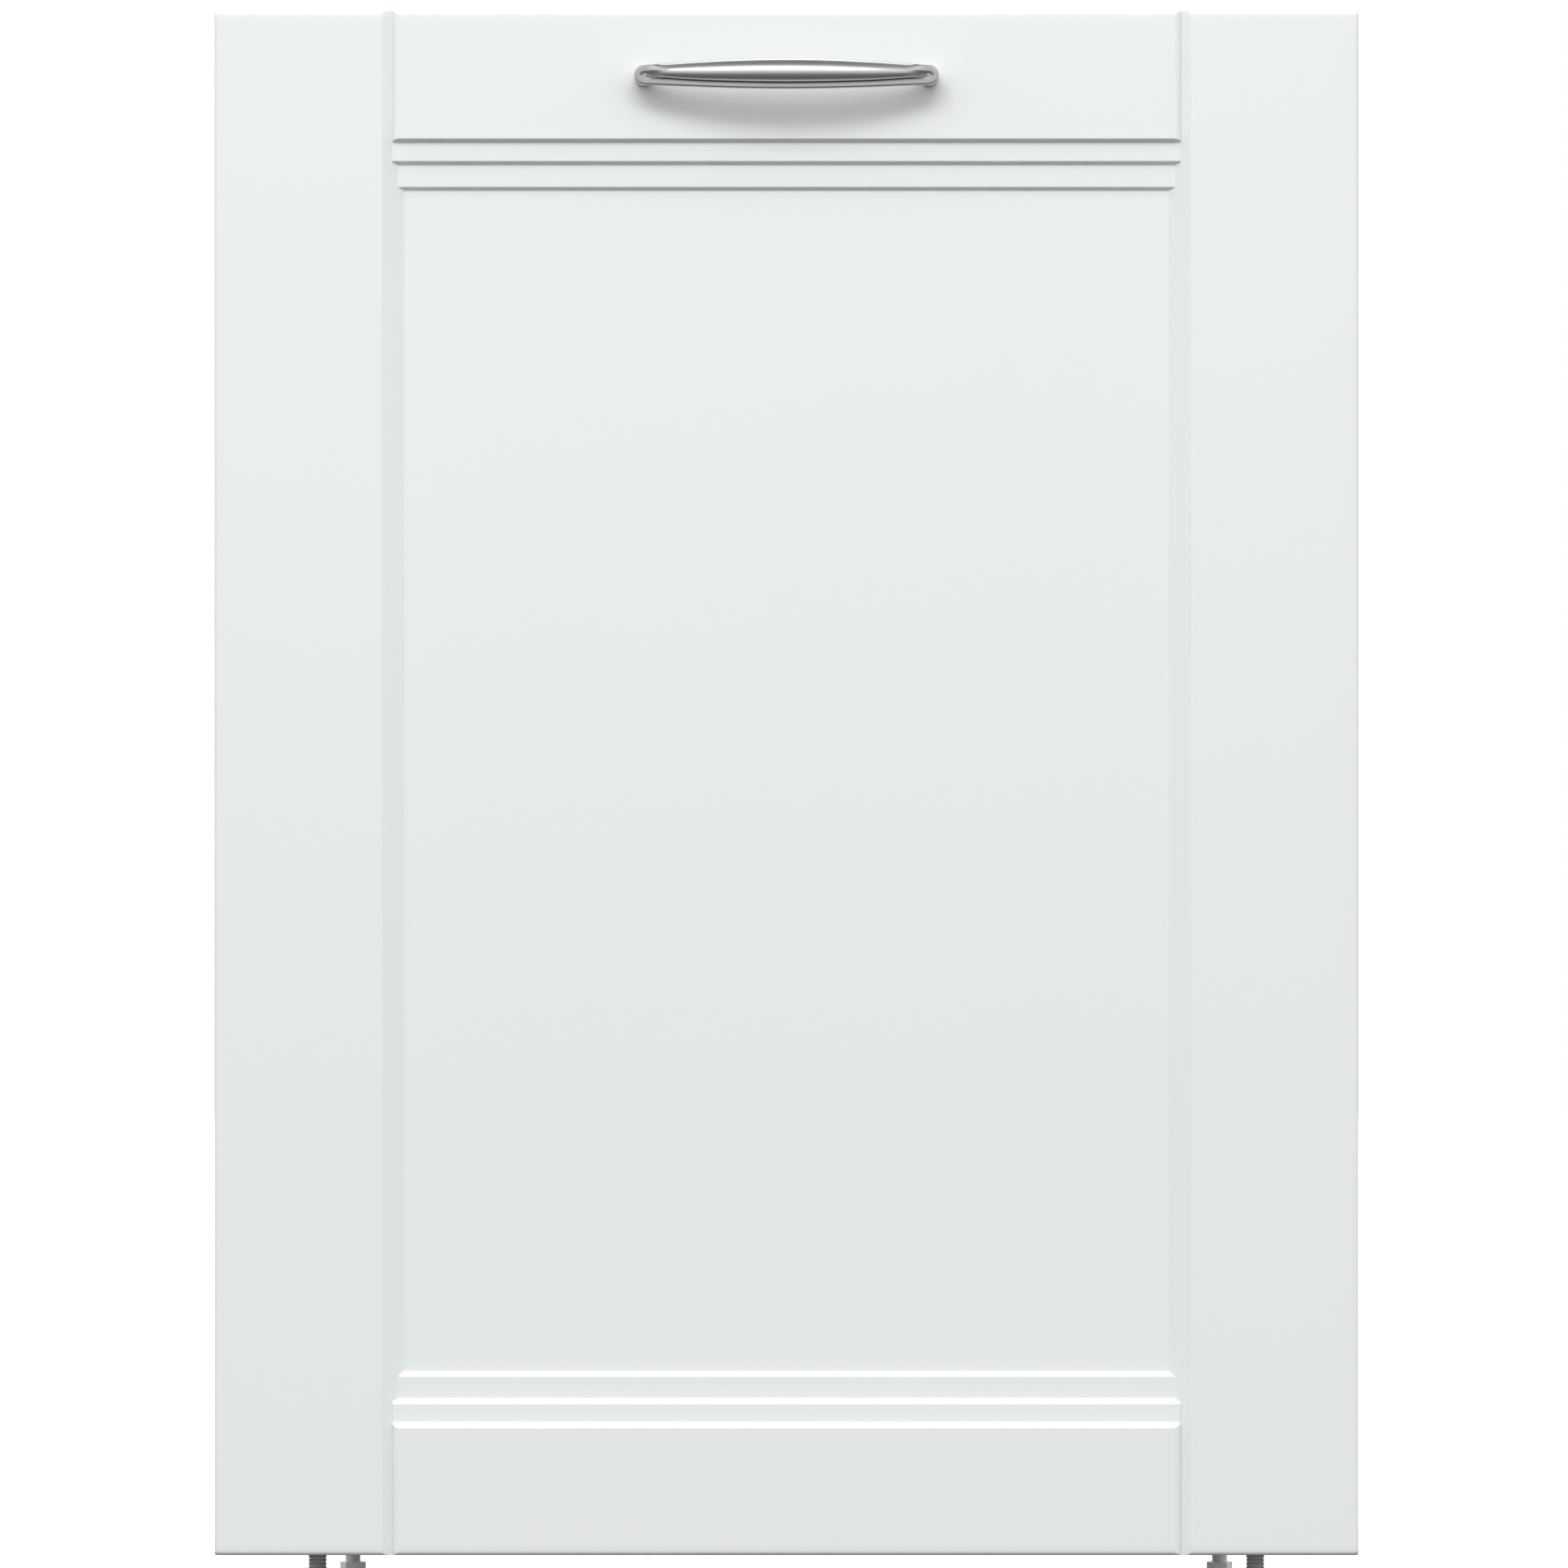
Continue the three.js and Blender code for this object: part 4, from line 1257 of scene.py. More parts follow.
    def tines(self) -> None:
        """Folding rows of hairpin tines, each on its own axle."""
        for row in ("front", "rear"):
            xs, ys, zs = span(f"folding_tines_{row}")
            y, z = sum(ys) / 2, zs[0] + 2.3
            paths: list[Path] = [([(xs[0] + 0.2, y, z), (xs[1] - 0.2, y, z)], False)]
            for x in np.linspace(xs[0] + 12, xs[1] - 12, 13):
                paths.append(([(x - 2.6, y, z), (x - 2.6, y, zs[1] - 1.8), (x + 2.6, y, zs[1] - 1.8),
                               (x + 2.6, y, z)], False))
            mesh = wires("tine_row", paths, 1.45, 2.4, Stock.NYLON)
            clips = Form()
            for x in (xs[0] + 4, sum(xs) / 2 + 12, xs[1] - 4):
                clips.lathe("x", (x, y, z), [(-3, 2.0), (-3, 2.9), (3, 2.9), (3, 2.0)], 14)
            place(
                f"tine_row_{row}", combine("tine_row", mesh, clips), Stock.NYLON,
                f"{row}_tines", f"folding_tines_{row}"
            )

    def wheels(self) -> None:
        """Spoked rack wheels with a grooved tread."""
        for corner, body in (
            ("front_left", "fl"), ("front_right", "fr"), ("rear_left", "rl"), ("rear_right", "rr")
        ):
            xs, ys, zs = span(f"rack_wheel_{corner}")
            centre = (sum(xs) / 2, sum(ys) / 2, sum(zs) / 2)
            half, radius = (xs[1] - xs[0]) / 2 - 0.1, (ys[1] - ys[0]) / 2 - 0.05
            form = Form().lathe("x", centre, [
                (-half, radius - 4.5), (-half, radius - 1), (-half + 1, radius), (-1.2, radius),
                (0, radius - 1), (1.2, radius), (half - 1, radius), (half, radius - 1), (half, radius - 4.5),
            ], 36, ring=True)
            form.lathe("x", centre, [(-half, 4.6), (-half, 7), (half, 7), (half, 4.6)], 24, ring=True)
            for i in range(6):
                t = 2 * math.pi * i / 6
                across = [(r * math.cos(t), r * math.sin(t)) for r in (6.4, radius - 4)]
                wide = (-math.sin(t) * 1.5, math.cos(t) * 1.5)
                section = ((-half + 1.5, -1), (half - 1.5, -1), (half - 1.5, 1), (-half + 1.5, 1))
                rings = [[
                    (centre[0] + a, centre[1] + u + s * wide[0], centre[2] + v + s * wide[1])
                    for a, s in section
                ] for u, v in across]
                form.add(*loft(rings))
            place(
                f"rack_wheel_{corner}_spoked", form, Stock.GREY, f"wheel_{body}",
                f"rack_wheel_{corner}"
            )

    def shelves(self) -> None:
        """Folding cup shelves: a moulded frame with wire bars."""
        for side, sign in (("left", -1), ("right", 1)):
            xs, ys, zs = span(f"cup_shelf_{side}")
            inner, outer = (xs[0], xs[1]) if sign > 0 else (xs[1], xs[0])
            z = sum(zs) / 2
            form = Form()
            for x0, x1 in ((inner, inner + sign * 5), (outer - sign * 5, outer)):
                form.brick(tuple(sorted((x0, x1))), (ys[0], ys[1]), (zs[0], zs[1]), 1.2)
            for y in (ys[0], ys[1] - 4):
                form.brick(xs, (y, y + 4), (zs[0], zs[1]), 1.2)
            bars = [
                ([(xs[0] + 2, y, z), (xs[1] - 2, y, z)], False)
                for y in np.linspace(ys[0] + 14, ys[1] - 14, 15)
            ]
            bars += [
                ([(x, ys[0] + 2, z), (x, ys[1] - 2, z)], False)
                for x in np.linspace(xs[0] + 22, xs[1] - 22, 3)
            ]
            mesh = combine("shelf", form, wires("shelf_bar", bars, 1.1, 0.0, Stock.GREY, 6))
            place(f"cup_shelf_{side}_grid", mesh, Stock.GREY, f"shelf_{side}", f"cup_shelf_{side}")

    def cutlery(self) -> None:
        """Cutlery basket with slotted walls, a rim and a carrying bar."""
        xs, ys, zs = span("cutlery_basket")
        form = Form()
        thick = 1.6
        outline = rounded_outline(xs, ys, 8.0)
        inner = rounded_outline((xs[0] + thick, xs[1] - thick), (ys[0] + thick, ys[1] - thick), 6.5)
        for low, high in ((zs[0], zs[0] + 7), (zs[1] - 9, zs[1])):
            form.add(*band(outline, inner, low, high))
        middle = (ys[0] + ys[1]) / 2
        for y in (middle - 60, middle, middle + 60):
            form.brick((xs[0] + 1, xs[1] - 1), (y - 0.9, y + 0.9), (zs[0] + 1, zs[1] - 20), 0.4)
        form.brick((xs[0] + 2, xs[1] - 2), (-53, -45), (zs[1] - 7.8, zs[1] - 0.2), 2.2)
        form.brick(((xs[0] + xs[1]) / 2 - 0.9, (xs[0] + xs[1]) / 2 + 0.9), (ys[0] + 1, ys[1] - 1),
                   (zs[0] + 1, zs[1] - 20), 0.4)
        tall = zs[1] - zs[0] - 14
        rows = 8
        pitch = tall / rows
        spots: list[tuple[Point, Point]] = []
        for count, low, fixed, facing in (
            (20, ys[0] + 8, xs[0], "left"), (20, ys[0] + 8, xs[1], "right"),
        ):
            step = (ys[1] - ys[0] - 16) / count
            spots += [((fixed, low + step * (i + 0.5), zs[0] + 6 + pitch * (j + 0.5)), FACING[facing])
                      for i in range(count) for j in range(rows)]
        side_tile = holed_tile((pitch, (ys[1] - ys[0] - 16) / 20), (pitch * 0.36, 3.4), thick)
        walls = scatter("side_wall", side_tile, spots, Stock.GREY)
        step = (xs[1] - xs[0] - 16) / 10
        spots = [((xs[0] + 8 + step * (i + 0.5), fixed, zs[0] + 6 + pitch * (j + 0.5)), FACING[facing])
                 for fixed, facing in ((ys[0], "front"), (ys[1], "back"))
                 for i in range(10) for j in range(rows)]
        ends = scatter("end_wall", holed_tile((step, pitch), (3.4, pitch * 0.36), thick), spots, Stock.GREY)
        spots = [((xs[0] + 8 + step * (i + 0.5), ys[0] + 8 + 10.1 * (j + 0.5), zs[0] + 2), FACING["up"])
                 for i in range(10) for j in range(20)]
        floor = scatter("basket_floor", holed_tile((step, 10.1), (3.6, 3.4), thick), spots, Stock.GREY)
        corner_posts = Form()
        for x, y in ((xs[0], ys[0]), (xs[1], ys[0]), (xs[1], ys[1]), (xs[0], ys[1])):
            sx, sy = (1 if x == xs[0] else -1), (1 if y == ys[0] else -1)
            corner_posts.brick(sided(sx, 0.2, 8.4, x), sided(sy, 0.2, 1.8, y),
                               (zs[0] + 1, zs[1] - 1), 0.7)
            corner_posts.brick(sided(sx, 0.2, 1.8, x), sided(sy, 0.2, 8.4, y),
                               (zs[0] + 1, zs[1] - 1), 0.7)
        mesh = combine("cutlery_basket", form, corner_posts, walls, ends, floor)
        place("cutlery_basket_slotted", mesh, Stock.GREY, "lower_rack", "cutlery_basket")

    def build(self) -> None:
        """Builds every rack piece."""
        for make in (self.lower, self.upper, self.tray, self.tines, self.wheels, self.shelves, self.cutlery):
            make()


def ring_faces(rows: int, count: int) -> list[tuple[int, int, int, int]]:
    """Faces of a closed stack of rings, in which the last ring joins the first."""
    faces = []
    for r in range(rows):
        s = (r + 1) % rows
        for i in range(count):
            j = (i + 1) % count
            faces.append((r * count + i, r * count + j, s * count + j, s * count + i))
    return faces


def band(outline: Sequence[Span], inner: Sequence[Span], low: float, high: float) -> tuple[list[Point], list]:
    """Upright band between two equal outlines in plan.

    Args:
        outline: its outer face.
        inner: its inner face.
        low: its foot.
        high: its top.
    Returns:
        Points and faces.
    """
    count = len(outline)
    rings = [[(*p, low) for p in outline], [(*p, high) for p in outline],
             [(*p, high) for p in inner], [(*p, low) for p in inner]]
    return [p for ring in rings for p in ring], ring_faces(len(rings), count)


# ---------------- tub and wet parts


@dataclass
class Tub:
    """Deep-drawn stainless tub with rounded corners and pressed ribs, its mouth and its runner channels."""

    wall: float = 1.0
    corner: float = 17.0
    rib: float = 2.4
    half_wide: float = 277.6
    half_high: float = 346.0
    bottom: float = 151.2
    top: float = 843.6
    back: float = 288.0
    side_ribs: tuple[float, ...] = (-150, -90, 205, 250)
    roof_ribs: tuple[float, ...] = (-190, -120, 120, 190)
    back_ribs: tuple[float, ...] = (-200, -130, -60, 60, 130, 200)
    seal_reach: float = 286.8
    seal_top: float = 848.8
    seal_foot: float = 142.6

    def walls(self) -> None:
        """Four walls as one drawn skin, the ribbed back, the flange and the ledges."""
        ys = span("tub")[1]
        half, bottom, top = self.half_wide, self.bottom, self.top
        form = Form()
        stations = list(grid_lines(ys[0] + 3, self.back - self.corner, 9.0))
        stations += [self.back - self.corner * (1 - math.sin(QUARTER * i / 5)) for i in range(1, 6)]
        outline = rounded_outline((-half, half), (bottom, top), self.corner)
        outline = dense_outline(outline, 14.0)
        middle_z = (bottom + top) / 2
        skins = []
        for lift in (0.0, self.wall):
            rings = []
            for y in stations:
                inset = self.corner - math.sqrt(
                    max(self.corner**2 - max(y - self.back + self.corner, 0) ** 2, 0.0)
                )
                ring = []
                for x, z in outline:
                    side_wall = abs(abs(x) - half) < 0.5
                    roof = abs(z - top) < 0.5 and abs(x) < half - 40
                    press = 0.0
                    if side_wall:
                        press += self.rib * rib_share(y, self.side_ribs) * ridge_band(z, 230, 720)
                    if roof:
                        press += self.rib * rib_share(x, self.roof_ribs) * ridge_band(y, -150, 230)
                    nx, nz = (-math.copysign(1, x), 0.0) if side_wall else (0.0, -1.0 if roof else 0.0)
                    sx = (half - inset) / half
                    sz = ((top - bottom) / 2 - inset) / ((top - bottom) / 2)
                    ring.append(((x + nx * press) * sx, y, middle_z + (z + nz * press - middle_z) * sz))
                grown_x, grown_z = 1 + lift / half, 1 + lift / self.half_high
                rings.append([
                    (px * grown_x, py, middle_z + (pz - middle_z) * grown_z) for px, py, pz in ring
                ] if lift else ring)
            skins.append(rings)
        inner, outer = skins
        rings = inner + outer[::-1]
        points = [p for ring in rings for p in ring]
        form.add(points, ring_faces(len(rings), len(outline)))
        reach_x, low_z, high_z = half - self.corner + 1.5, bottom + self.corner - 1.5, top - self.corner + 1.5
        form.sheet(
            lambda u, v, w: (u, 288.4 - w, v), grid_lines(-reach_x, reach_x, 7),
            grid_lines(low_z, high_z, 12),
            lambda u, v: beads(u, self.back_ribs, 13, self.rib) * fade(v, 215, 770, 30), self.wall,
        )
        flange = dense_outline(rounded_outline((-289, 289), (141, 851), 14), 20)
        mouth = dense_outline(rounded_outline((-half, half), (bottom, top), self.corner), 14.0)
        form.add(*frame_face(resample(flange, 160), resample(mouth, 160), ys[0] + 0.1, ys[0] + 2.6))
        for side in (-1, 1):
            form.brick(sided(side, 236.4, 261.6), (-184, 268), (151.6, 155.6), 1.6)
            form.brick(sided(side, 249, 278), (-184, 268), (752.4, 759.8), 2.0)
        place("tub_skin", form, Stock.STAINLESS, "cabinet", "tub", sharp=40.0)

    def gasket(self) -> None:
        """Ribbed lip seal round the mouth."""
        y = span("tub_gasket")[1][0] + 0.72
        paths = []
        for inset in (1.6, 4.6, 7.2):
            side, top = self.seal_reach - inset, self.seal_top - inset
            paths.append((
                [(-side, y, self.seal_foot), (-side, y, top), (side, y, top), (side, y, self.seal_foot)],
                False
            ))
        mesh = wires("lip_seal", paths, 0.68, 9.0, Stock.RUBBER)
        place("mouth_seal_lips", mesh, Stock.RUBBER, "cabinet")

    def channels(self) -> None:
        """Rolled side channels of the upper rack, with stops and roller pairs."""
        for side, sign in (("left", -1), ("right", 1)):
            xs, ys, zs = span(f"upper_rail_{side}")
            far = xs[1] if sign > 0 else xs[0]
            form = Form()
            form.brick(sided(-sign, 0, 1.6, far), (ys[0], ys[1]), (zs[0], zs[1]), 0.6)
            for z in (zs[0], zs[1] - 1.6):
                form.brick(xs, (ys[0], ys[1]), (z, z + 1.6), 0.6)
            for z in (zs[0] + 1.4, zs[1] - 4.0):
                edge = xs[0] if sign > 0 else xs[1]
                form.brick(sided(sign, 0, 1.4, edge), (ys[0], ys[1]), (z, z + 2.6), 0.5)
            for y in (ys[0] + 30, ys[1] - 40):
                form.lathe("x", (far - sign * 1.8, y, sum(zs) / 2), [(-1.0, 5.5), (1.0, 5.5), (1.4, 3.5)], 16)
            place(
                f"runner_channel_{side}", form, Stock.STAINLESS, "cabinet",
                f"upper_rail_{side}"
            )

    def build(self) -> None:
        """Builds the tub's pieces."""
        self.walls()
        self.gasket()
        self.channels()


def rib_share(at: float, centres: Sequence[float]) -> float:
    """How much of a rounded rib stands at a place."""
    return float(beads(np.array([at]), centres, 15.0, 1.0)[0])


def ridge_band(at: float, low: float, high: float) -> float:
    """1 between two places, easing to 0 outside them."""
    return float(fade(np.array([at]), low, high, 30.0)[0])


def dense_outline(outline: Sequence[Span], pitch: float) -> list[Span]:
    """Adds points to an outline's long sides."""
    dense = []
    for a, b in zip(outline, list(outline[1:]) + [outline[0]]):
        count = max(1, round(math.dist(a, b) / pitch))
        dense += [(a[0] + (b[0] - a[0]) * i / count, a[1] + (b[1] - a[1]) * i / count) for i in range(count)]
    return dense


def resample(outline: Sequence[Span], count: int) -> list[Span]:
    """The same outline with points at equal angles round its middle."""
    loop = np.array(list(outline) + [outline[0]])
    middle = (loop.max(axis=0) + loop.min(axis=0)) / 2
    size = (loop.max(axis=0) - loop.min(axis=0)) / 2
    angles = np.unwrap(np.arctan2((loop[:, 1] - middle[1]) / size[1], (loop[:, 0] - middle[0]) / size[0]))
    wanted = angles[0] + 2 * math.pi * np.arange(count) / count
    return list(zip(np.interp(wanted, angles, loop[:, 0]), np.interp(wanted, angles, loop[:, 1])))


def frame_face(
    outer: Sequence[Span], inner: Sequence[Span], near: float, far: float
) -> tuple[list[Point], list]:
    """Flat frame in the x-z plane between two equal outlines, from near to far on y."""
    points, faces = band(outer, inner, near, far)
    return [(x, y, z) for x, z, y in points], faces


@dataclass
class WetParts:
    """Spray arms with nozzles, filters, float and the spray feed's fittings."""

    hub: tuple[float, float] = (0.0, 45.0)
    filter_at: tuple[float, float] = (75.0, -30.0)
    punch_pitch: float = 5.6
    nozzle_rise: float = 4.6

    def arm(self, name: str, body: str, down: bool) -> None:
        """Spray arm: swept hollow blades that swell into the hub, with raised nozzles.

        Args:
            name: the CAD node.
            body: the body that it turns with.
            down: whether the hub hangs under the blades.
        """
        xs, _, zs = span(name)
        centre = self.hub
        reach = xs[1] - 0.5
        blade = (420.2, 432.8) if not down else (177.2, 189.8)
        middle = sum(blade) / 2
        form = Form()
        for sign in (-1, 1):
            rings = []
            for share in np.linspace(0.0, 1.0, 25):
                along = 6 + (reach - 6) * math.sin(share * QUARTER)
                end = math.sqrt(max(1 - max((along - reach + 16) / 16, 0) ** 2, 0.0))
                half = (23 - 5.5 * share) * max(end, 0.16)
                sweep = 6.0 * share**2 - 2.0
                tall = (6.2 - 1.6 * share) * max(end, 0.3)
                ring = []
                for i in range(20):
                    t = 2 * math.pi * i / 20
                    c, s = math.cos(t), math.sin(t)
                    across = math.copysign(abs(c) ** 0.7, c) * half
                    up = math.copysign(abs(s) ** 0.8, s) * tall
                    ring.append((centre[0] + sign * along, centre[1] + sign * (across + sweep), middle + up))
                rings.append(ring)
            form.add(*loft(rings))
        face = blade[1] if down else blade[0]
        away = 1 if down else -1
        hub_far = zs[0] + 0.2 if down else zs[1] - 0.2
        form.lathe("z", (*centre, 0), [
            (hub_far, 15.4), (hub_far, 22), (hub_far + away * 4, 23.6), (middle, 24), (face - away * 2, 23),
            (face, 19), (face, 16), (face - away * 1.2, 15.4), (middle, 15.2),
        ], 36, ring=True)
        cap = ((3.6, 16.2), (0.6, 16.2), (0.3, 13), (0.3, 4))
        form.lathe("z", (*centre, 0), [(face - away * deep, radius) for deep, radius in cap], 24)
        spots = []
        nozzle = Form().lathe(
            "z", (0, 0, 0), [(-1.2, 3.6), (0.5, 3.2), (0.7, 2.4), (0.4, 1.6), (-1.2, 1.5)], 14
        )
        for sign in (-1, 1):
            for share, offset in ((0.22, 8), (0.38, -7), (0.52, 6), (0.66, -4), (0.8, 5), (0.91, 0)):
                along = reach * share
                tilt = 0.18 * sign
                spots.append((
                    (sign * along, centre[1] + sign * (offset + 3), middle + away * self.nozzle_rise),
                    (tilt if down else math.pi - tilt, 0.0, 0.0),
                ))
        mesh = combine(name, form, scatter("nozzle", nozzle, spots, Stock.GREY))
        place(f"{name}_moulded", mesh, Stock.GREY, body, name, sharp=40.0)

    def plate(self) -> None:
        """Fine filter plate with punched holes and collars round its two openings."""
        xs, ys, zs = span("filter_plate")
        pitch = self.punch_pitch
        columns = int((xs[1] - xs[0] - 10) // pitch)
        rows = int((ys[1] - ys[0] - 10) // pitch)
        left = sum(xs) / 2 - columns * pitch / 2
        front = sum(ys) / 2 - rows * pitch / 2
        openings = ((*self.filter_at, 39.5), (*self.hub, 20.5))
        spots = []
        for i in range(columns):
            for j in range(rows):
                x, y = left + pitch * (i + 0.5), front + pitch * (j + 0.5)
                if all(math.hypot(x - cx, y - cy) > r for cx, cy, r in openings):
                    spots.append(((x, y, zs[1] - 0.3), FACING["up"]))
        holes = scatter("punched", holed_tile((pitch, pitch), (1.75, 1.75), 0.9), spots, Stock.STAINLESS)
        form = Form()
        low, high = zs[0] + 0.1, zs[1]
        inside = rounded_outline((xs[0] + 7, xs[1] - 7), (ys[0] + 7, ys[1] - 7), 5)
        form.add(*band(rounded_outline(xs, ys, 12), inside, low, high))
        for cx, cy, outer, inner in ((*self.filter_at, 43.5, 34.6), (*self.hub, 24.5, 15.2)):
            form.lathe("z", (cx, cy, 0), [(low, outer), (high - 0.3, outer), (high, outer - 1), (high, inner),
                                          (low, inner)], 40, ring=True)
        mesh = combine("filter_plate", form, holes)
        place("filter_plate_punched", mesh, Stock.STAINLESS, "cabinet", "filter_plate")

    def cup(self) -> None:
        """Coarse filter: a slotted cup with a rim, a grip bridge and two ears."""
        x, y = self.filter_at
        form = Form()
        form.lathe("z", (x, y, 0), [
            (92.2, 20), (92.2, 33), (96, 33.8), (150, 33.8), (154.6, 34), (155, 36.4), (157, 36.4),
            (157.8, 35.4),
            (157.6, 32.6), (150, 31.8), (96, 31.6), (94.6, 30), (94.6, 20),
        ], 48, ring=True, wave=lambda i, r: r - (0.7 if i % 2 and 33.5 < r < 33.95 else 0.0))
        form.lathe("z", (x, y, 0), [(92.3, 20.4), (94.5, 20.4)], 24)
        for side in (-1, 1):
            form.brick((x - 6, x + 6), sided(side, 30.2, 35.8, y), (156, 171.8), 2.0)
        form.brick((x - 1.6, x + 1.6), (y - 32, y + 32), (140, 156), 0.8)
        ribs = [([(x + 34.4 * math.cos(t), y + 34.4 * math.sin(t), 96.0),
                  (x + 34.4 * math.cos(t), y + 34.4 * math.sin(t), 150.0)], False)
                for t in np.linspace(0, 2 * math.pi, 25)[:-1]]
        mesh = combine("filter", form, wires("filter_rib", ribs, 0.6, 0.0, Stock.GREY, 6))
        place("coarse_filter_cup", mesh, Stock.GREY, "filter", "filter_cylinder")

    def float_bell(self) -> None:
        """Bell of the overfill float."""
        xs, ys, zs = span("float")
        radius = (xs[1] - xs[0]) / 2 - 0.1
        form = Form().lathe("z", (sum(xs) / 2, sum(ys) / 2, 0), [
            (zs[0], radius - 3), (zs[0], radius), (zs[0] + 9, radius), (zs[0] + 12, radius - 2.4),
            (zs[1] - 4, radius - 3.4), (zs[1] - 1, radius - 5.5), (zs[1], radius - 9), (zs[1], 1.5),
        ], 32)
        place("float_bell", form, Stock.GREY, "float", "float")

    def fittings(self) -> None:
        """Top sprayer's holes, the riser's clips and the salt funnel's cap on the tub floor."""
        form = Form()
        form.lathe("z", (-150, 120, 0), [(153.0, 26), (157, 26), (159, 24), (161.5, 22), (162, 6)], 32,
                   wave=lambda i, r: r * (0.955 if i % 2 and r > 23 else 1.0))
        form.brick((-168, -132), (116.5, 123.5), (161, 167.5), 2.0)
        place("salt_cap", form, Stock.GREY, "cabinet")
        clips = Form()
        for z in (250, 380, 560, 700):
            clips.brick((-27, 27), (269, 287.4), (z, z + 12), 2.5)
        place("riser_clips", clips, Stock.GREY, "cabinet")
        nozzle = Form().lathe("z", (0, 0, 0), [(-1.0, 3.0), (0.6, 2.6), (0.8, 1.9), (-0.6, 1.4)], 12)
        spots = [((17 * math.cos(t), 45 + 17 * math.sin(t), 815.2), FACING["down"])
                 for t in np.linspace(0, 2 * math.pi, 9)[:-1]]
        mesh = scatter("roof_nozzle", nozzle, spots, Stock.GREY)
        place("top_sprayer_nozzles", mesh, Stock.GREY, "cabinet")

    def build(self) -> None:
        """Builds the wet pieces."""
        self.arm("lower_spray_arm", "lower_arm", True)
        self.arm("upper_spray_arm", "upper_arm", False)
        self.plate()
        self.cup()
        self.float_bell()
        self.fittings()


# ---------------- inside of the door


@dataclass
class DoorInside:
    """Pressed stainless liner, top strip with keys and display, and the dispenser's moving parts."""

    window: tuple[Span, Span] = ((-103.0, 103.0), (442.0, 538.0))
    recess: float = 8.0

    def liner(self) -> None:
        """Pressed liner with a sunk middle, two raised fields and a drip channel."""
        xs, ys, zs = span("inner_door")
        (wx0, wx1), (wz0, wz1) = self.window
        us = np.unique(np.concatenate([
            grid_lines(xs[0] + 0.2, -244, 5), grid_lines(-244, -200, 4), grid_lines(-200, wx0, 8),
            grid_lines(wx0, wx1, 9), grid_lines(wx1, 200, 8), grid_lines(200, 244, 4),
            grid_lines(244, xs[1] - 0.2, 5),
        ]))
        vs = np.unique(np.concatenate([
            grid_lines(zs[0] + 0.3, 166, 4), grid_lines(166, 235, 4), grid_lines(235, wz0, 9),
            grid_lines(wz0, wz1, 9), grid_lines(wz1, 740, 9), grid_lines(740, 784, 4),
            grid_lines(784, zs[1] - 0.3, 5),
        ]))

        def rise(u: np.ndarray, v: np.ndarray) -> np.ndarray:
            """Height of the liner's face over its rim."""
            sunk = fade(u, -240, 240, 13) * fade(v, 170, 780, 13)
            low_field = fade(u, -196, 196, 16) * fade(v, 206, 412, 16)
            high_field = fade(u, -196, 196, 16) * fade(v, 572, 746, 16)
            channel = beads(v, (146.0,), 9, 1.6) * fade(u, -268, 268, 14)
            edge = beads(u, (-262.0, 262.0), 8, 1.1) * fade(v, 190, 770, 30)
            return -self.recess * sunk + 2.4 * (low_field + high_field) - channel - edge

        form = Form().sheet(lambda u, v, w: (u, ys[1] - 0.1 + w, v), us, vs, rise, 1.0, self.window)
        for side in (-1, 1):
            form.brick(sided(side, 286.8, 288), (ys[1] - 12, ys[1] - 0.3), (zs[0], zs[1]), 0.4)
        mesh = form
        place("door_liner_pressed", mesh, Stock.STAINLESS, "door", "inner_door", sharp=40.0)
        spots = [
            ((side * 278, ys[1], z), FACING["back"]) for side in (-1, 1) for z in (135, 300, 480, 660, 815)
        ]
        spots = [((x, y - 0.3, z), turn) for (x, y, z), turn in spots]
        screws = scatter("liner_screw", screw_head(3.6, 1.5), spots, Stock.STAINLESS)
        place("liner_screws", screws, Stock.STAINLESS, "door")

    def keys(self) -> None:
        """Rounded keys, each with its own sign."""
        signs = {"power_button": "power", "program_button": "list", "start_button": "go"}
        for node, sign in signs.items():
            xs, ys, zs = span(node)
            cx, cy = sum(xs) / 2, sum(ys) / 2
            hx, hy = (xs[1] - xs[0]) / 2 - 0.1, (ys[1] - ys[0]) / 2 - 0.1
            rings = []
            for z, inset in ((zs[0], 0.6), (zs[0] + 0.6, 0.0), (zs[1] - 1.2, 0.0), (zs[1] - 0.4, 0.4),
                             (zs[1] - 0.05, 1.3), (zs[1] - 0.25, 3.0), (zs[1] - 0.45, 5.2)):
                reach_x, reach_y = hx - inset, hy - inset
                rings.append([
                    (cx + reach_x * spread_cos(math.cos(t)), cy + reach_y * spread_cos(math.sin(t)), z)
                    for t in (2 * math.pi * i / 40 for i in range(40))
                ])
            form = Form().add(*loft(rings))
            body = node.replace("button", "key")
            place(f"{node}_cap", form, Stock.KEY, body, node)
            mark = wires(
                f"{sign}_sign", self.sign_paths(sign, cx, cy, zs[1] - 0.35), 0.28, 0.0, Stock.BLACK, 6
            )
            place(f"{node}_sign", mark, Stock.BLACK, body)

    def sign_paths(self, sign: str, x: float, y: float, z: float) -> list[Path]:
        """Strokes of a key's sign."""
        arc = [
            (x + 2.5 * math.sin(t), y - 0.2 + 2.5 * math.cos(t), z)
            for t in np.linspace(0.7, 2 * math.pi - 0.7, 19)
        ]
        if sign == "power":
            return [(arc, False), ([(x, y + 0.4, z), (x, y + 3.0, z)], False)]
        if sign == "list":
            return [([(x - 3, y + d, z), (x + 3, y + d, z)], False) for d in (-2, 0, 2)]
        return [([(x - 1.8, y - 2.4, z), (x + 2.4, y, z), (x - 1.8, y + 2.4, z)], True)]

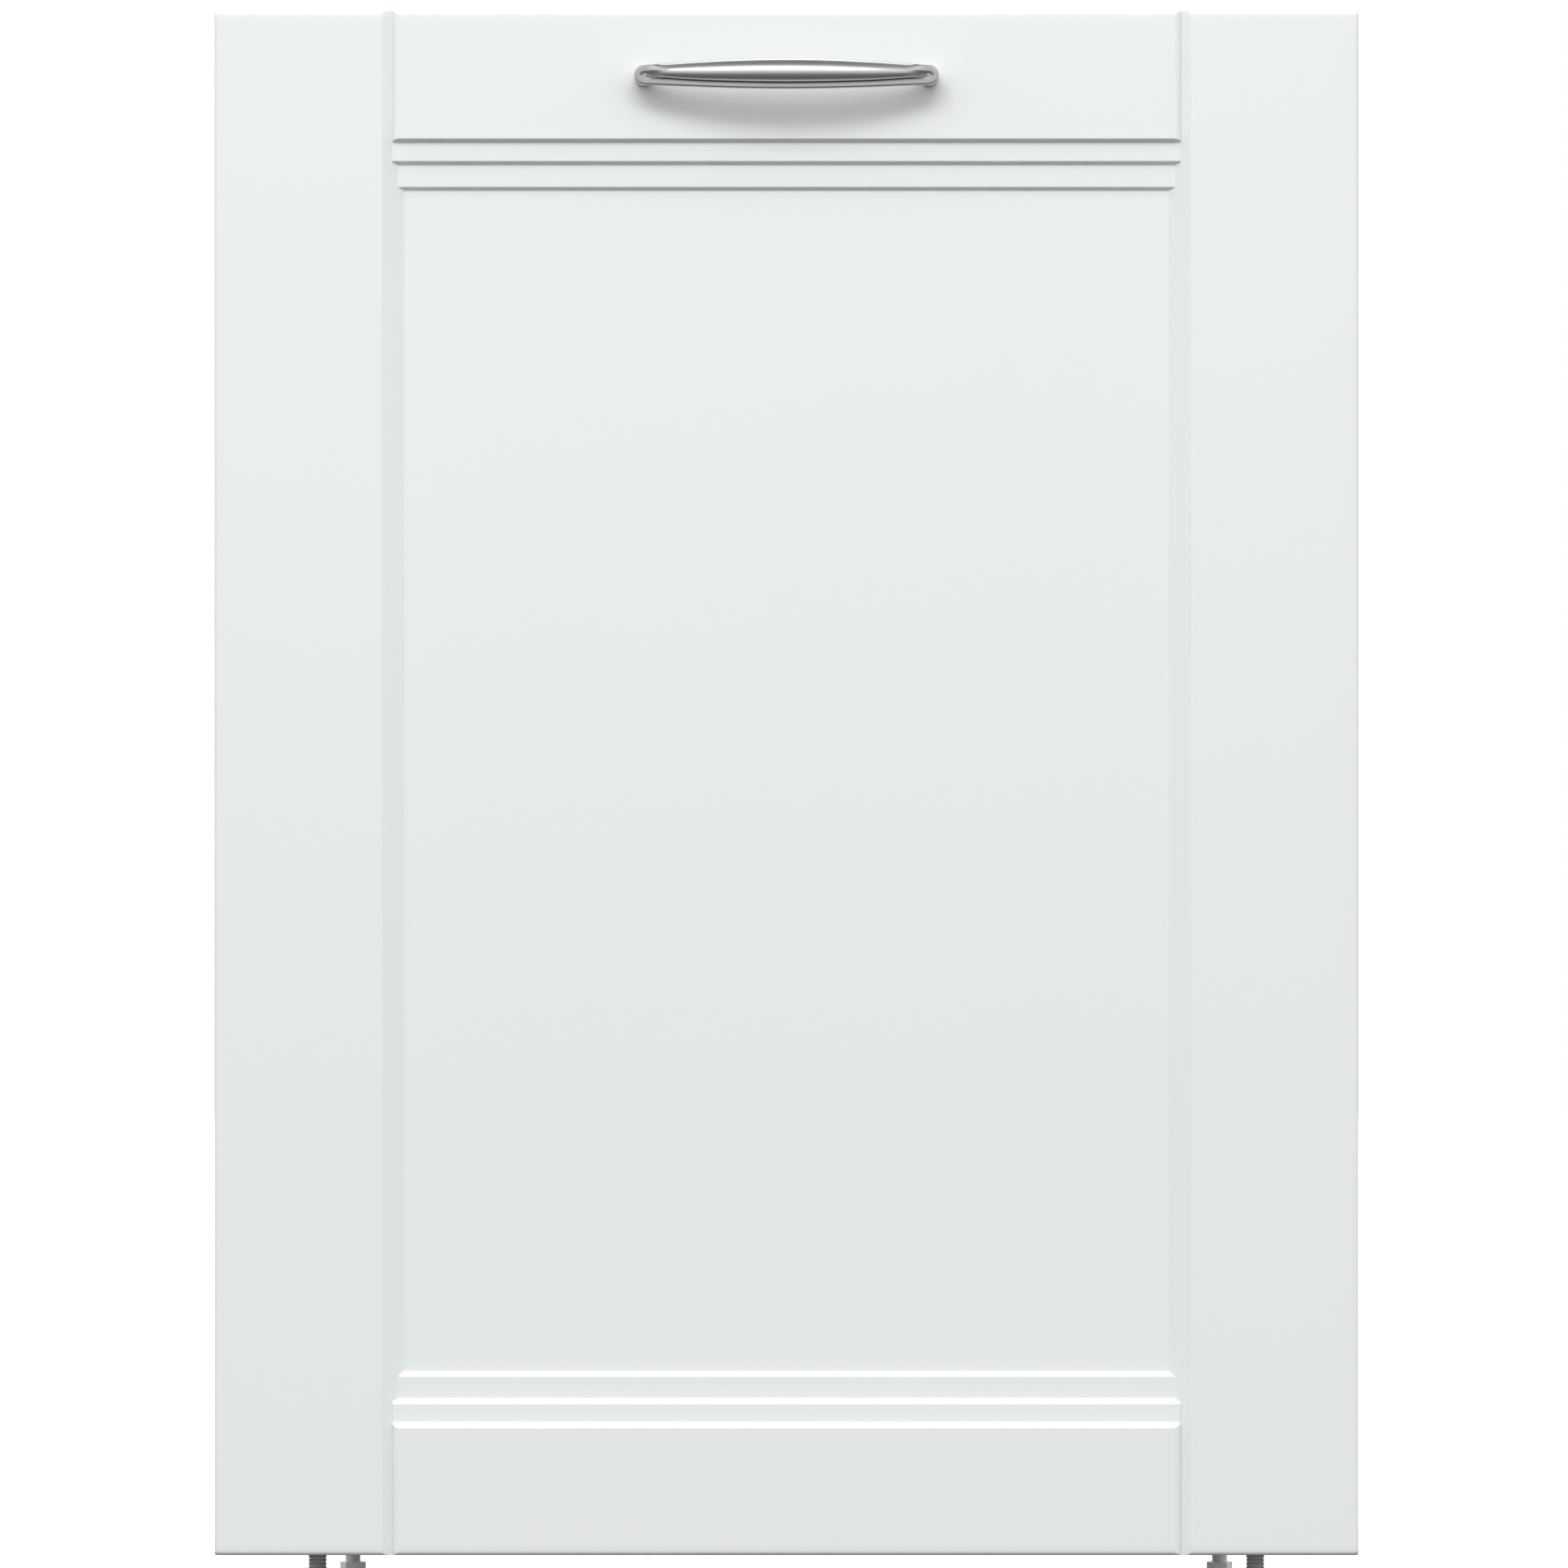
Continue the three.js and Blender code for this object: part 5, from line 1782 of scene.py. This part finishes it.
    def display(self) -> None:
        """Digits and lamps under the smoked cover, and the vent slots of the top strip."""
        _, ys, zs = span("display_window")
        lit = {"3": "abcdg", "0": "abcdef", "1": "bc", "2": "abdeg"}
        form = Form()
        top = (zs[1] - 0.02, zs[1] + 0.16)
        cy = sum(ys) / 2
        upper, lower = (cy + 0.6, cy + 4.9), (cy - 4.9, cy - 0.6)
        for digit, x in zip("1230", (88.0, 98.0, 110.0, 120.0)):
            across, right, left = (x - 2.2, x + 2.2), (x + 2.4, x + 3.3), (x - 3.3, x - 2.4)
            bars = {
                "a": (across, (cy + 5.0, cy + 5.9)), "g": (across, (cy - 0.45, cy + 0.45)),
                "d": (across, (cy - 5.9, cy - 5.0)), "b": (right, upper), "c": (right, lower),
                "e": (left, lower), "f": (left, upper),
            }
            for key in lit[digit]:
                form.brick(*bars[key], top, 0.07)
        for x, y in ((104.0, cy + 2), (104.0, cy - 2)):
            form.brick((x - 0.5, x + 0.5), (y - 0.5, y + 0.5), top, 0.07)
        for x in (70.0, 76.0, 132.0, 138.0, 144.0):
            form.lathe("z", (x, cy, 0), [(top[0], 1.2), (top[1], 1.0)], 12)
        place("display_digits", form, Stock.PALE, "door")
        slot = Form().brick((-7, 7), (-0.8, 0.8), (-0.1, 0.5), 0.3)
        spots = [
            ((x, y, 860.0), FACING["up"]) for x in np.linspace(-130, -40, 6) for y in (-230, -226, -222, -218)
        ]
        ribs = scatter("grip_rib", slot, spots, Stock.BLACK)
        place("top_strip_ribs", ribs, Stock.BLACK, "door")

    def dispenser(self) -> None:
        """Lid, rinse aid cap and the raised rim of the dispenser."""
        xs, ys, zs = span("dispenser_lid")
        form = Form().brick(xs, (ys[0], ys[0] + 2), zs, 0.9)
        frame_outer = rounded_outline((xs[0] + 3, xs[1] - 3), (zs[0] + 3, zs[1] - 3), 7)
        frame_inner = rounded_outline((xs[0] + 4.4, xs[1] - 4.4), (zs[0] + 4.4, zs[1] - 4.4), 5.8)
        form.add(*frame_face(frame_outer, frame_inner, ys[0] + 1.8, ys[0] + 2.6))
        for offset in (0.0, 3.4, 6.8):
            form.brick(
                (xs[1] - 17 + offset, xs[1] - 15 + offset), (ys[0] + 1.8, ys[1] - 0.1), (470, 500), 0.9
            )
        place("detergent_lid", form, Stock.PALE, "dispenser_lid", "dispenser_lid")

        xs, ys, zs = span("rinse_aid_cap")
        x, z = sum(xs) / 2, sum(zs) / 2
        radius = (xs[1] - xs[0]) / 2 - 0.1
        face = ys[1] - 3.0
        form = Form().lathe("y", (x, 0, z), [
            (ys[0], radius - 1.5), (ys[0] + 1, radius - 0.8), (face - 1.4, radius),
            (face - 0.4, radius - 0.5),
            (face, radius - 1.6), (face - 0.3, radius - 4), (face - 0.3, 3),
        ], 48, wave=lambda i, r: r - (0.5 if i % 4 == 0 and r > radius - 0.6 else 0.0))
        form.brick((x - 14, x + 14), (face - 1, ys[1] - 0.1), (z - 2.9, z + 2.9), 1.4)
        place("rinse_cap_fluted", form, Stock.BLUE, "rinse_cap", "rinse_aid_cap")

        xs, ys, zs = span("dispenser_housing")
        form = Form()
        rim_outer = rounded_outline((xs[0] + 0.3, xs[1] - 0.3), (zs[0] + 0.3, zs[1] - 0.3), 8)
        rim_inner = rounded_outline((xs[0] + 2.6, xs[1] - 2.6), (zs[0] + 2.6, zs[1] - 2.6), 6)
        form.add(*frame_face(rim_outer, rim_inner, ys[1] - 0.3, ys[1] + 1.2))
        collar = ((-0.2, 22.5), (0.9, 22.0), (0.9, 19.6), (-0.2, 19.2))
        form.lathe("y", (x, 0, z), [(ys[1] + rise, radius) for rise, radius in collar], 48, ring=True)
        form.lathe("y", (x, 0, z + 34), [(ys[1] - 0.2, 3.4), (ys[1] + 0.5, 3.0)], 20)
        for offset in range(5):
            form.brick(
                (-76 + offset * 6.2, -72 + offset * 6.2), (ys[1] - 0.2, ys[1] + 0.8), (444.5, 449.5), 0.5
            )
        place("dispenser_rims", form, Stock.GREY, "door")

    def build(self) -> None:
        """Builds everything inside the door."""
        self.liner()
        self.keys()
        self.display()
        self.dispenser()


def spread_cos(value: float) -> float:
    """Pushes a cosine outwards, which turns a circle into a rounded rectangle."""
    return math.copysign(abs(value) ** 0.42, value)


# ---------------- jacket and base


@dataclass
class Jacket:
    """Felt blanket over the tub, side panels with pressed ribs, and the screws that hold them."""

    rib: float = 1.9
    side_ribs: tuple[float, ...] = (-120, -50, 20, 90, 160, 230)

    def blanket(self) -> None:
        """Four felt panels with lapped seams."""
        xs, ys, zs = span("insulation_wrap")

        def lumpy(u: np.ndarray, v: np.ndarray) -> np.ndarray:
            """Unevenness of the blanket's face."""
            wave = 0.5 * np.sin(u * 0.052 + 1.3) * np.sin(v * 0.047 + 0.4) + 0.3 * np.sin(u * 0.13 + v * 0.09)
            return wave - 1.0

        def lapped(u: np.ndarray, v: np.ndarray, seams: Sequence[float]) -> np.ndarray:
            """Lumpy face that is pulled in along its seams."""
            return lumpy(u, v) - beads(u, seams, 9, 1.6)

        form = Form()
        ys_in, zs_in = (ys[0] + 0.5, ys[1] - 0.4), (zs[0] + 0.5, zs[1] - 0.4)
        for side in (-1, 1):
            form.sheet(
                lambda u, v, w: (side * (xs[1] - 0.1 + w), u, v), grid_lines(*ys_in, 12),
                grid_lines(*zs_in, 14), lambda u, v: lapped(u, v, (-60.0, 110.0)), 8.0
            )
        form.sheet(lambda u, v, w: (u, v, zs[1] - 0.1 + w), grid_lines(xs[0] + 0.6, xs[1] - 0.6, 12),
                   grid_lines(*ys_in, 12), lambda u, v: lapped(u, v, (-110.0, 110.0)), 4.6)
        form.sheet(lambda u, v, w: (u, ys[1] - 0.1 + w, v), grid_lines(xs[0] + 0.6, xs[1] - 0.6, 12),
                   grid_lines(*zs_in, 14), lambda u, v: lapped(u, v, (-97.0, 97.0)), 8.0)
        place("felt_blanket", form, Stock.FELT, "cabinet", "insulation_wrap", sharp=60.0)
        clip = Form().lathe("z", (0, 0, 0), [(-0.6, 9), (0.5, 9), (1.3, 7.6), (1.8, 4), (1.9, 1)], 24)
        spots = [
            ((x, ys[1] - 0.9, z), FACING["back"])
            for x in (-250, -97, 97, 250) for z in (190, 350, 510, 670, 820)
        ]
        spots += [
            ((x, y, zs[1] - 0.9), FACING["up"]) for x in (-250, -110, 110, 250) for y in (-60, 100, 260)
        ]
        mesh = scatter("blanket_clip", clip, spots, Stock.BLACK)
        place("blanket_clips", mesh, Stock.BLACK, "cabinet")

    def side_panels(self) -> None:
        """Zinc side panels with pressed ribs and hemmed edges."""
        for label, side in (("left", -1), ("right", 1)):
            xs, ys, zs = span(f"side_panel_{label}")
            face = max(abs(xs[0]), abs(xs[1]))

            def rise(u: np.ndarray, v: np.ndarray) -> np.ndarray:
                """Depth of the ribs and of the sunk field."""
                ribs = beads(u, self.side_ribs, 12, self.rib) * fade(v, 150, 800, 40)
                cross = beads(v, (100.0, 838.0), 10, 1.6) * fade(u, -160, 270, 30)
                return -np.maximum(ribs, cross)

            form = Form().sheet(
                lambda u, v, w: (side * (face + w), u, v), grid_lines(ys[0] + 0.3, ys[1] - 0.3, 4.5),
                grid_lines(zs[0] + 0.3, zs[1] - 0.3, 10), rise, 0.7
            )
            (y0, y1), (z0, z1) = (ys[0] + 0.9, ys[1] - 0.9), (zs[0] + 0.9, zs[1] - 0.9)
            corners_in = ((y0, z0), (y1, z0), (y1, z1), (y0, z1))
            hem = [([(side * (face - 0.8), y, z) for y, z in corners_in], True)]
            mesh = combine("side", form, wires("hem", hem, 0.8, 2.0, Stock.ZINC, 8))
            place(
                f"side_panel_{label}_ribbed", mesh, Stock.ZINC, "cabinet", f"side_panel_{label}", sharp=60.0
            )
            turn = FACING["right" if side > 0 else "left"]
            spots = [((side * (face - 0.1), y, z), turn) for y in (ys[0] + 10, ys[1] - 10)
                     for z in (75, 250, 430, 610, 845)]
            screws = scatter("side_screw", screw_head(4.2, 2.0), spots, Stock.SPRING_STEEL)
            place(f"side_screws_{label}", screws, Stock.SPRING_STEEL, "cabinet")

    def top_screws(self) -> None:
        """Screws through the tabs that hold the machine to its worktop, and along the top frame."""
        zs = span("top_frame")[2]
        spots = [((side * 225 + dx, -171, zs[1] - 0.1), FACING["up"]) for side in (-1, 1) for dx in (-9, 9)]
        spots += [((x, -125, 858.4), FACING["up"]) for x in (-270, -90, 0, 90, 270)]
        mesh = scatter("top_screw", screw_head(4.4, 2.2), spots, Stock.SPRING_STEEL)
        place("top_frame_screws", mesh, Stock.SPRING_STEEL, "cabinet")

    def build(self) -> None:
        """Builds the jacket."""
        self.blanket()
        self.side_panels()
        self.top_screws()


@dataclass
class Base:
    """Threaded legs, ribbed cover, door springs and the pumps' fittings."""

    pitch: float = 2.0
    root: float = 4.3
    crest: float = 4.95
    coils: int = 90

    def legs(self) -> None:
        """Levelling legs with a rolled thread, a hexagon and a ribbed foot."""
        places = (("front_left", "fl"), ("front_right", "fr"), ("rear_left", "rl"), ("rear_right", "rr"))
        for corner, body in places:
            xs, ys, zs = span(f"levelling_leg_{corner}")
            x, y = sum(xs) / 2, sum(ys) / 2
            foot = (xs[1] - xs[0]) / 2 - 0.1
            form = Form().lathe("z", (x, y, 0), [
                (0.0, foot - 1), (0.8, foot), (3.6, foot), (4.6, foot - 1.4), (6, 12), (8.6, 7), (9, 4.4),
            ], 36,
                                wave=lambda i, r: r - (0.7 if i % 3 == 0 and r > foot - 0.5 else 0.0))
            form.lathe("z", (x, y, 0), [(8.4, 6.4), (8.8, 7.4), (13.0, 7.4), (13.4, 6.4)], 6)
            thread = [(8.0, self.root)]
            for step in range(int((zs[1] - 18) / self.pitch)):
                start = 17.0 + step * self.pitch
                thread += [(start, self.root), (start + self.pitch / 2, self.crest)]
            thread.append((zs[1] - 0.2, 4.0))
            form.lathe("z", (x, y, 0), thread, 20)
            place(
                f"leg_{corner}_threaded", form, Stock.PALE, f"leg_{body}",
                f"levelling_leg_{corner}", slot="black_plastic"
            )

    def cover(self) -> None:
        """Ribbed cover along the base's front."""
        xs, ys, zs = span("base_cover")
        form = Form().sheet(
            lambda u, v, w: (u, ys[0] + 0.9 - w, v), grid_lines(xs[0], xs[1], 20),
            grid_lines(zs[0], zs[1], 1.2),
            lambda u, v: beads(v, (62, 70, 78, 86), 3, 0.8) * fade(u, -270, 270, 8), 1.5,
        )
        place("base_cover_ribbed", form, Stock.BLACK, "cabinet", "base_cover")
        spots = [((x, ys[0] + 0.9, 91), FACING["front"]) for x in (-278, 278)]
        mesh = scatter("cover_screw", screw_head(3.2, 0.8), spots, Stock.SPRING_STEEL)
        place("base_cover_screws", mesh, Stock.SPRING_STEEL, "cabinet")

    def springs(self) -> None:
        """Close-wound door springs with their hook wires."""
        for label in ("left", "right"):
            xs, ys, zs = span(f"door_spring_{label}")
            x, z = sum(xs) / 2, sum(zs) / 2
            turns, start, stop, radius = self.coils, -39.0, 149.0, 4.4
            coil = []
            for i in range(turns * 10 + 1):
                t = 2 * math.pi * i / 10
                coil.append((x + radius * math.cos(t), start + (stop - start) * i / (turns * 10),
                             z + radius * math.sin(t)))
            hooks = [([(x, ys[0] + 1.6, z + 3.6), (x, ys[0] + 1.6, z), (x, start + 1, z)], False),
                     ([(x, stop - 1, z), (x, ys[1] - 1.6, z), (x, ys[1] - 1.6, z + 3.6)], False)]
            caps = Form()
            for low, high in ((start - 3, start + 3), (stop - 3, stop + 3)):
                caps.lathe("y", (x, 0, z), [(low, 2.2), (low + 0.6, 5.0), (high - 0.6, 5.0), (high, 3.0)], 16)
            mesh = combine("spring", wires("coil", [(coil, False)], 0.95, 0.0, Stock.SPRING_STEEL, 6),
                           wires("hook", hooks, 1.4, 3.0, Stock.SPRING_STEEL), caps)
            place(f"door_spring_{label}_coil", mesh, Stock.SPRING_STEEL, "cabinet", f"door_spring_{label}")

    def pumps(self) -> None:
        """Ribs and clamp bands on the pumps and the inlet valve."""
        form = Form()
        for x in np.linspace(-184, -92, 12):
            form.hoop("x", (0, 70, 101), x, 0.9, (36, 38.6), 40)
        for x in np.linspace(140, 196, 8):
            form.hoop("x", (0, 10, 86), x, 0.8, (22, 24.8), 32)
        place("pump_ribs", form, Stock.BLACK, "cabinet")
        bands = Form()
        for y in (60.0, 78.0):
            bands.hoop("y", (170, 0, 100), y, 2.4, (9.1, 10), 24)
        for z in (112.0, 116.0, 120.0, 124.0):
            bands.lathe("z", (-204, 250, 0), [(z - 1, 12), (z, 12.9), (z + 1, 12)], 24)
        place("valve_thread_and_clamps", bands, Stock.STAINLESS, "cabinet")

    def build(self) -> None:
        """Builds the base's pieces."""
        self.legs()
        self.cover()
        self.springs()
        self.pumps()


# ---------------- studio


@dataclass
class Studio:
    """Pale floor, soft light from above and in front, and a long lens square to the front."""

    distance: float = 5.0
    shift_x: float = -1.3 * MM
    frame_width: float = 816.7 * MM
    below: float = 6.5 * MM
    glow: tuple[tuple[float, float], ...] = (
        (0.0, 0.12), (0.46, 0.14), (0.57, 1.36), (0.78, 1.32), (0.93, 0.8)
    )
    gleam: tuple[tuple[float, float], ...] = (
        (0.0, 0.16), (0.24, 0.19), (0.38, 0.32), (0.48, 0.58), (0.6, 0.95), (0.76, 1.15), (0.88, 0.6),
        (1.0, 0.25),
    )

    def camera(self) -> None:
        """Sets the camera so that the front fills the picture's height."""
        low = corners("custom_front_panel")[0]
        data = bpy.data.cameras.new("camera")
        data.sensor_width = 36.0
        data.lens = 36.0 * self.distance / self.frame_width
        data.clip_end = 50.0
        camera = bpy.data.objects.new("camera", data)
        camera.location = (self.shift_x, low.y - self.distance, low.z - self.below + self.frame_width / 2)
        camera.rotation_euler = (QUARTER, 0.0, 0.0)
        link(camera)
        bpy.context.scene.camera = camera

    def floor(self) -> None:
        """Lays the pale floor."""
        mesh = mesh_from("floor", [(-8, -9, 0), (8, -9, 0), (8, 8, 0), (-8, 8, 0)], [(0, 1, 2, 3)])
        floor = bpy.data.objects.new("floor", mesh)
        link(floor)
        g = Graph("pale_floor")
        g.set(Base_Color=g.mix(g.noise(2.0), (0.86, 0.86, 0.86), (0.9, 0.9, 0.9)), Roughness=0.8)
        floor.data.materials.append(g.material)
        floor.visible_diffuse = False
        floor.visible_glossy = False

    def light(self, name: str, spot: Point, aim: Point, size: tuple[float, float], power: float) -> None:
        """Hangs one soft panel light.

        Args:
            name: its name.
            spot: where it hangs.
            aim: what it points at.
            size: its width and height.
            power: in watts.
        """
        data = bpy.data.lights.new(name, "AREA")
        data.shape = "RECTANGLE"
        data.size, data.size_y = size
        data.energy = power
        lamp = bpy.data.objects.new(name, data)
        lamp.location = spot
        lamp.rotation_euler = (Vector(aim) - Vector(spot)).to_track_quat("-Z", "Y").to_euler()
        link(lamp)

    def build(self) -> None:
        """Sets up everything round the machine."""
        self.camera()
        self.floor()
        self.sky()
        bpy.context.scene.view_settings.view_transform = "Standard"
        self.light("key", (-0.25, -3.1, 3.0), (0.0, -0.27, 0.5), (3.2, 1.0), 62.0)
        self.light("floor_wash", (0.0, 4.6, 4.0), (0.0, 4.6, 0.0), (9.0, 7.0), 420.0)

    def sky(self) -> None:
        """Soft surround: bright in front and above, dark from below, white behind the machine."""
        world = bpy.data.worlds.new("studio")
        world.use_nodes = True
        tree = world.node_tree
        backdrop = tree.nodes["Background"]
        where = tree.nodes.new("ShaderNodeTexCoord")
        split = tree.nodes.new("ShaderNodeSeparateXYZ")
        level = tree.nodes.new("ShaderNodeMapRange")
        level.inputs["From Min"].default_value = -1.0
        path = tree.nodes.new("ShaderNodeLightPath")
        mirrored, picked = (tree.nodes.new("ShaderNodeMix") for _ in range(2))
        links = tree.links
        links.new(where.outputs["Generated"], split.inputs[0])
        links.new(split.outputs["Z"], level.inputs["Value"])
        for stops, socket in ((self.glow, mirrored.inputs[6]), (self.gleam, mirrored.inputs[7])):
            ramp = tree.nodes.new("ShaderNodeValToRGB")
            for stop, (at, glow) in zip(_ramp_stops(ramp.color_ramp, len(stops)), stops):
                stop.position = at
                stop.color = (glow, glow, glow, 1.0)
            links.new(level.outputs[0], ramp.inputs[0])
            links.new(ramp.outputs[0], socket)
        for mix in (mirrored, picked):
            mix.data_type = "RGBA"
        picked.inputs[7].default_value = (1.0, 1.0, 1.0, 1.0)
        links.new(path.outputs["Is Glossy Ray"], mirrored.inputs[0])
        links.new(mirrored.outputs[2], picked.inputs[6])
        links.new(path.outputs["Is Camera Ray"], picked.inputs[0])
        links.new(picked.outputs[2], backdrop.inputs["Color"])
        bpy.context.scene.world = world


# ---------------- carried-over CAD nodes

CAD_FINISHES: dict[Stock, tuple[str, ...]] = {
    Stock.ZINC: (
        "outer_door", "hinge_arm_left", "hinge_arm_right", "top_frame", "door_strike", "hinge_bracket_left",
        "hinge_bracket_right",
    ),
    Stock.BLACK: (
        "control_fascia", "base_pan", "circulation_pump", "drain_pump", "mains_inlet", "latch_hook",
    ),
    Stock.GREY: ("dispenser_housing", "sump", "spray_feed_pipe", "upper_feed_tube"),
    Stock.PALE: ("inlet_valve",),
    Stock.RUBBER: ("tub_gasket", "door_seal"),
    Stock.SMOKED: ("display_window",),
    Stock.BOARD: ("control_board",),
}


def dress_cad_nodes() -> None:
    """Gives each CAD node that stays in view its finish."""
    for stock, names in CAD_FINISHES.items():
        for name in names:
            dress(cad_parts[name], stock)


def main() -> None:
    """Builds the studio and every piece in order."""
    Studio().build()
    dress_cad_nodes()
    KitchenFront().build()
    BowPull().build()
    DoorInside().build()
    Tub().build()
    WetParts().build()
    RackMaker().build()
    Jacket().build()
    Base().build()


if __name__ == "__main__":
    main()
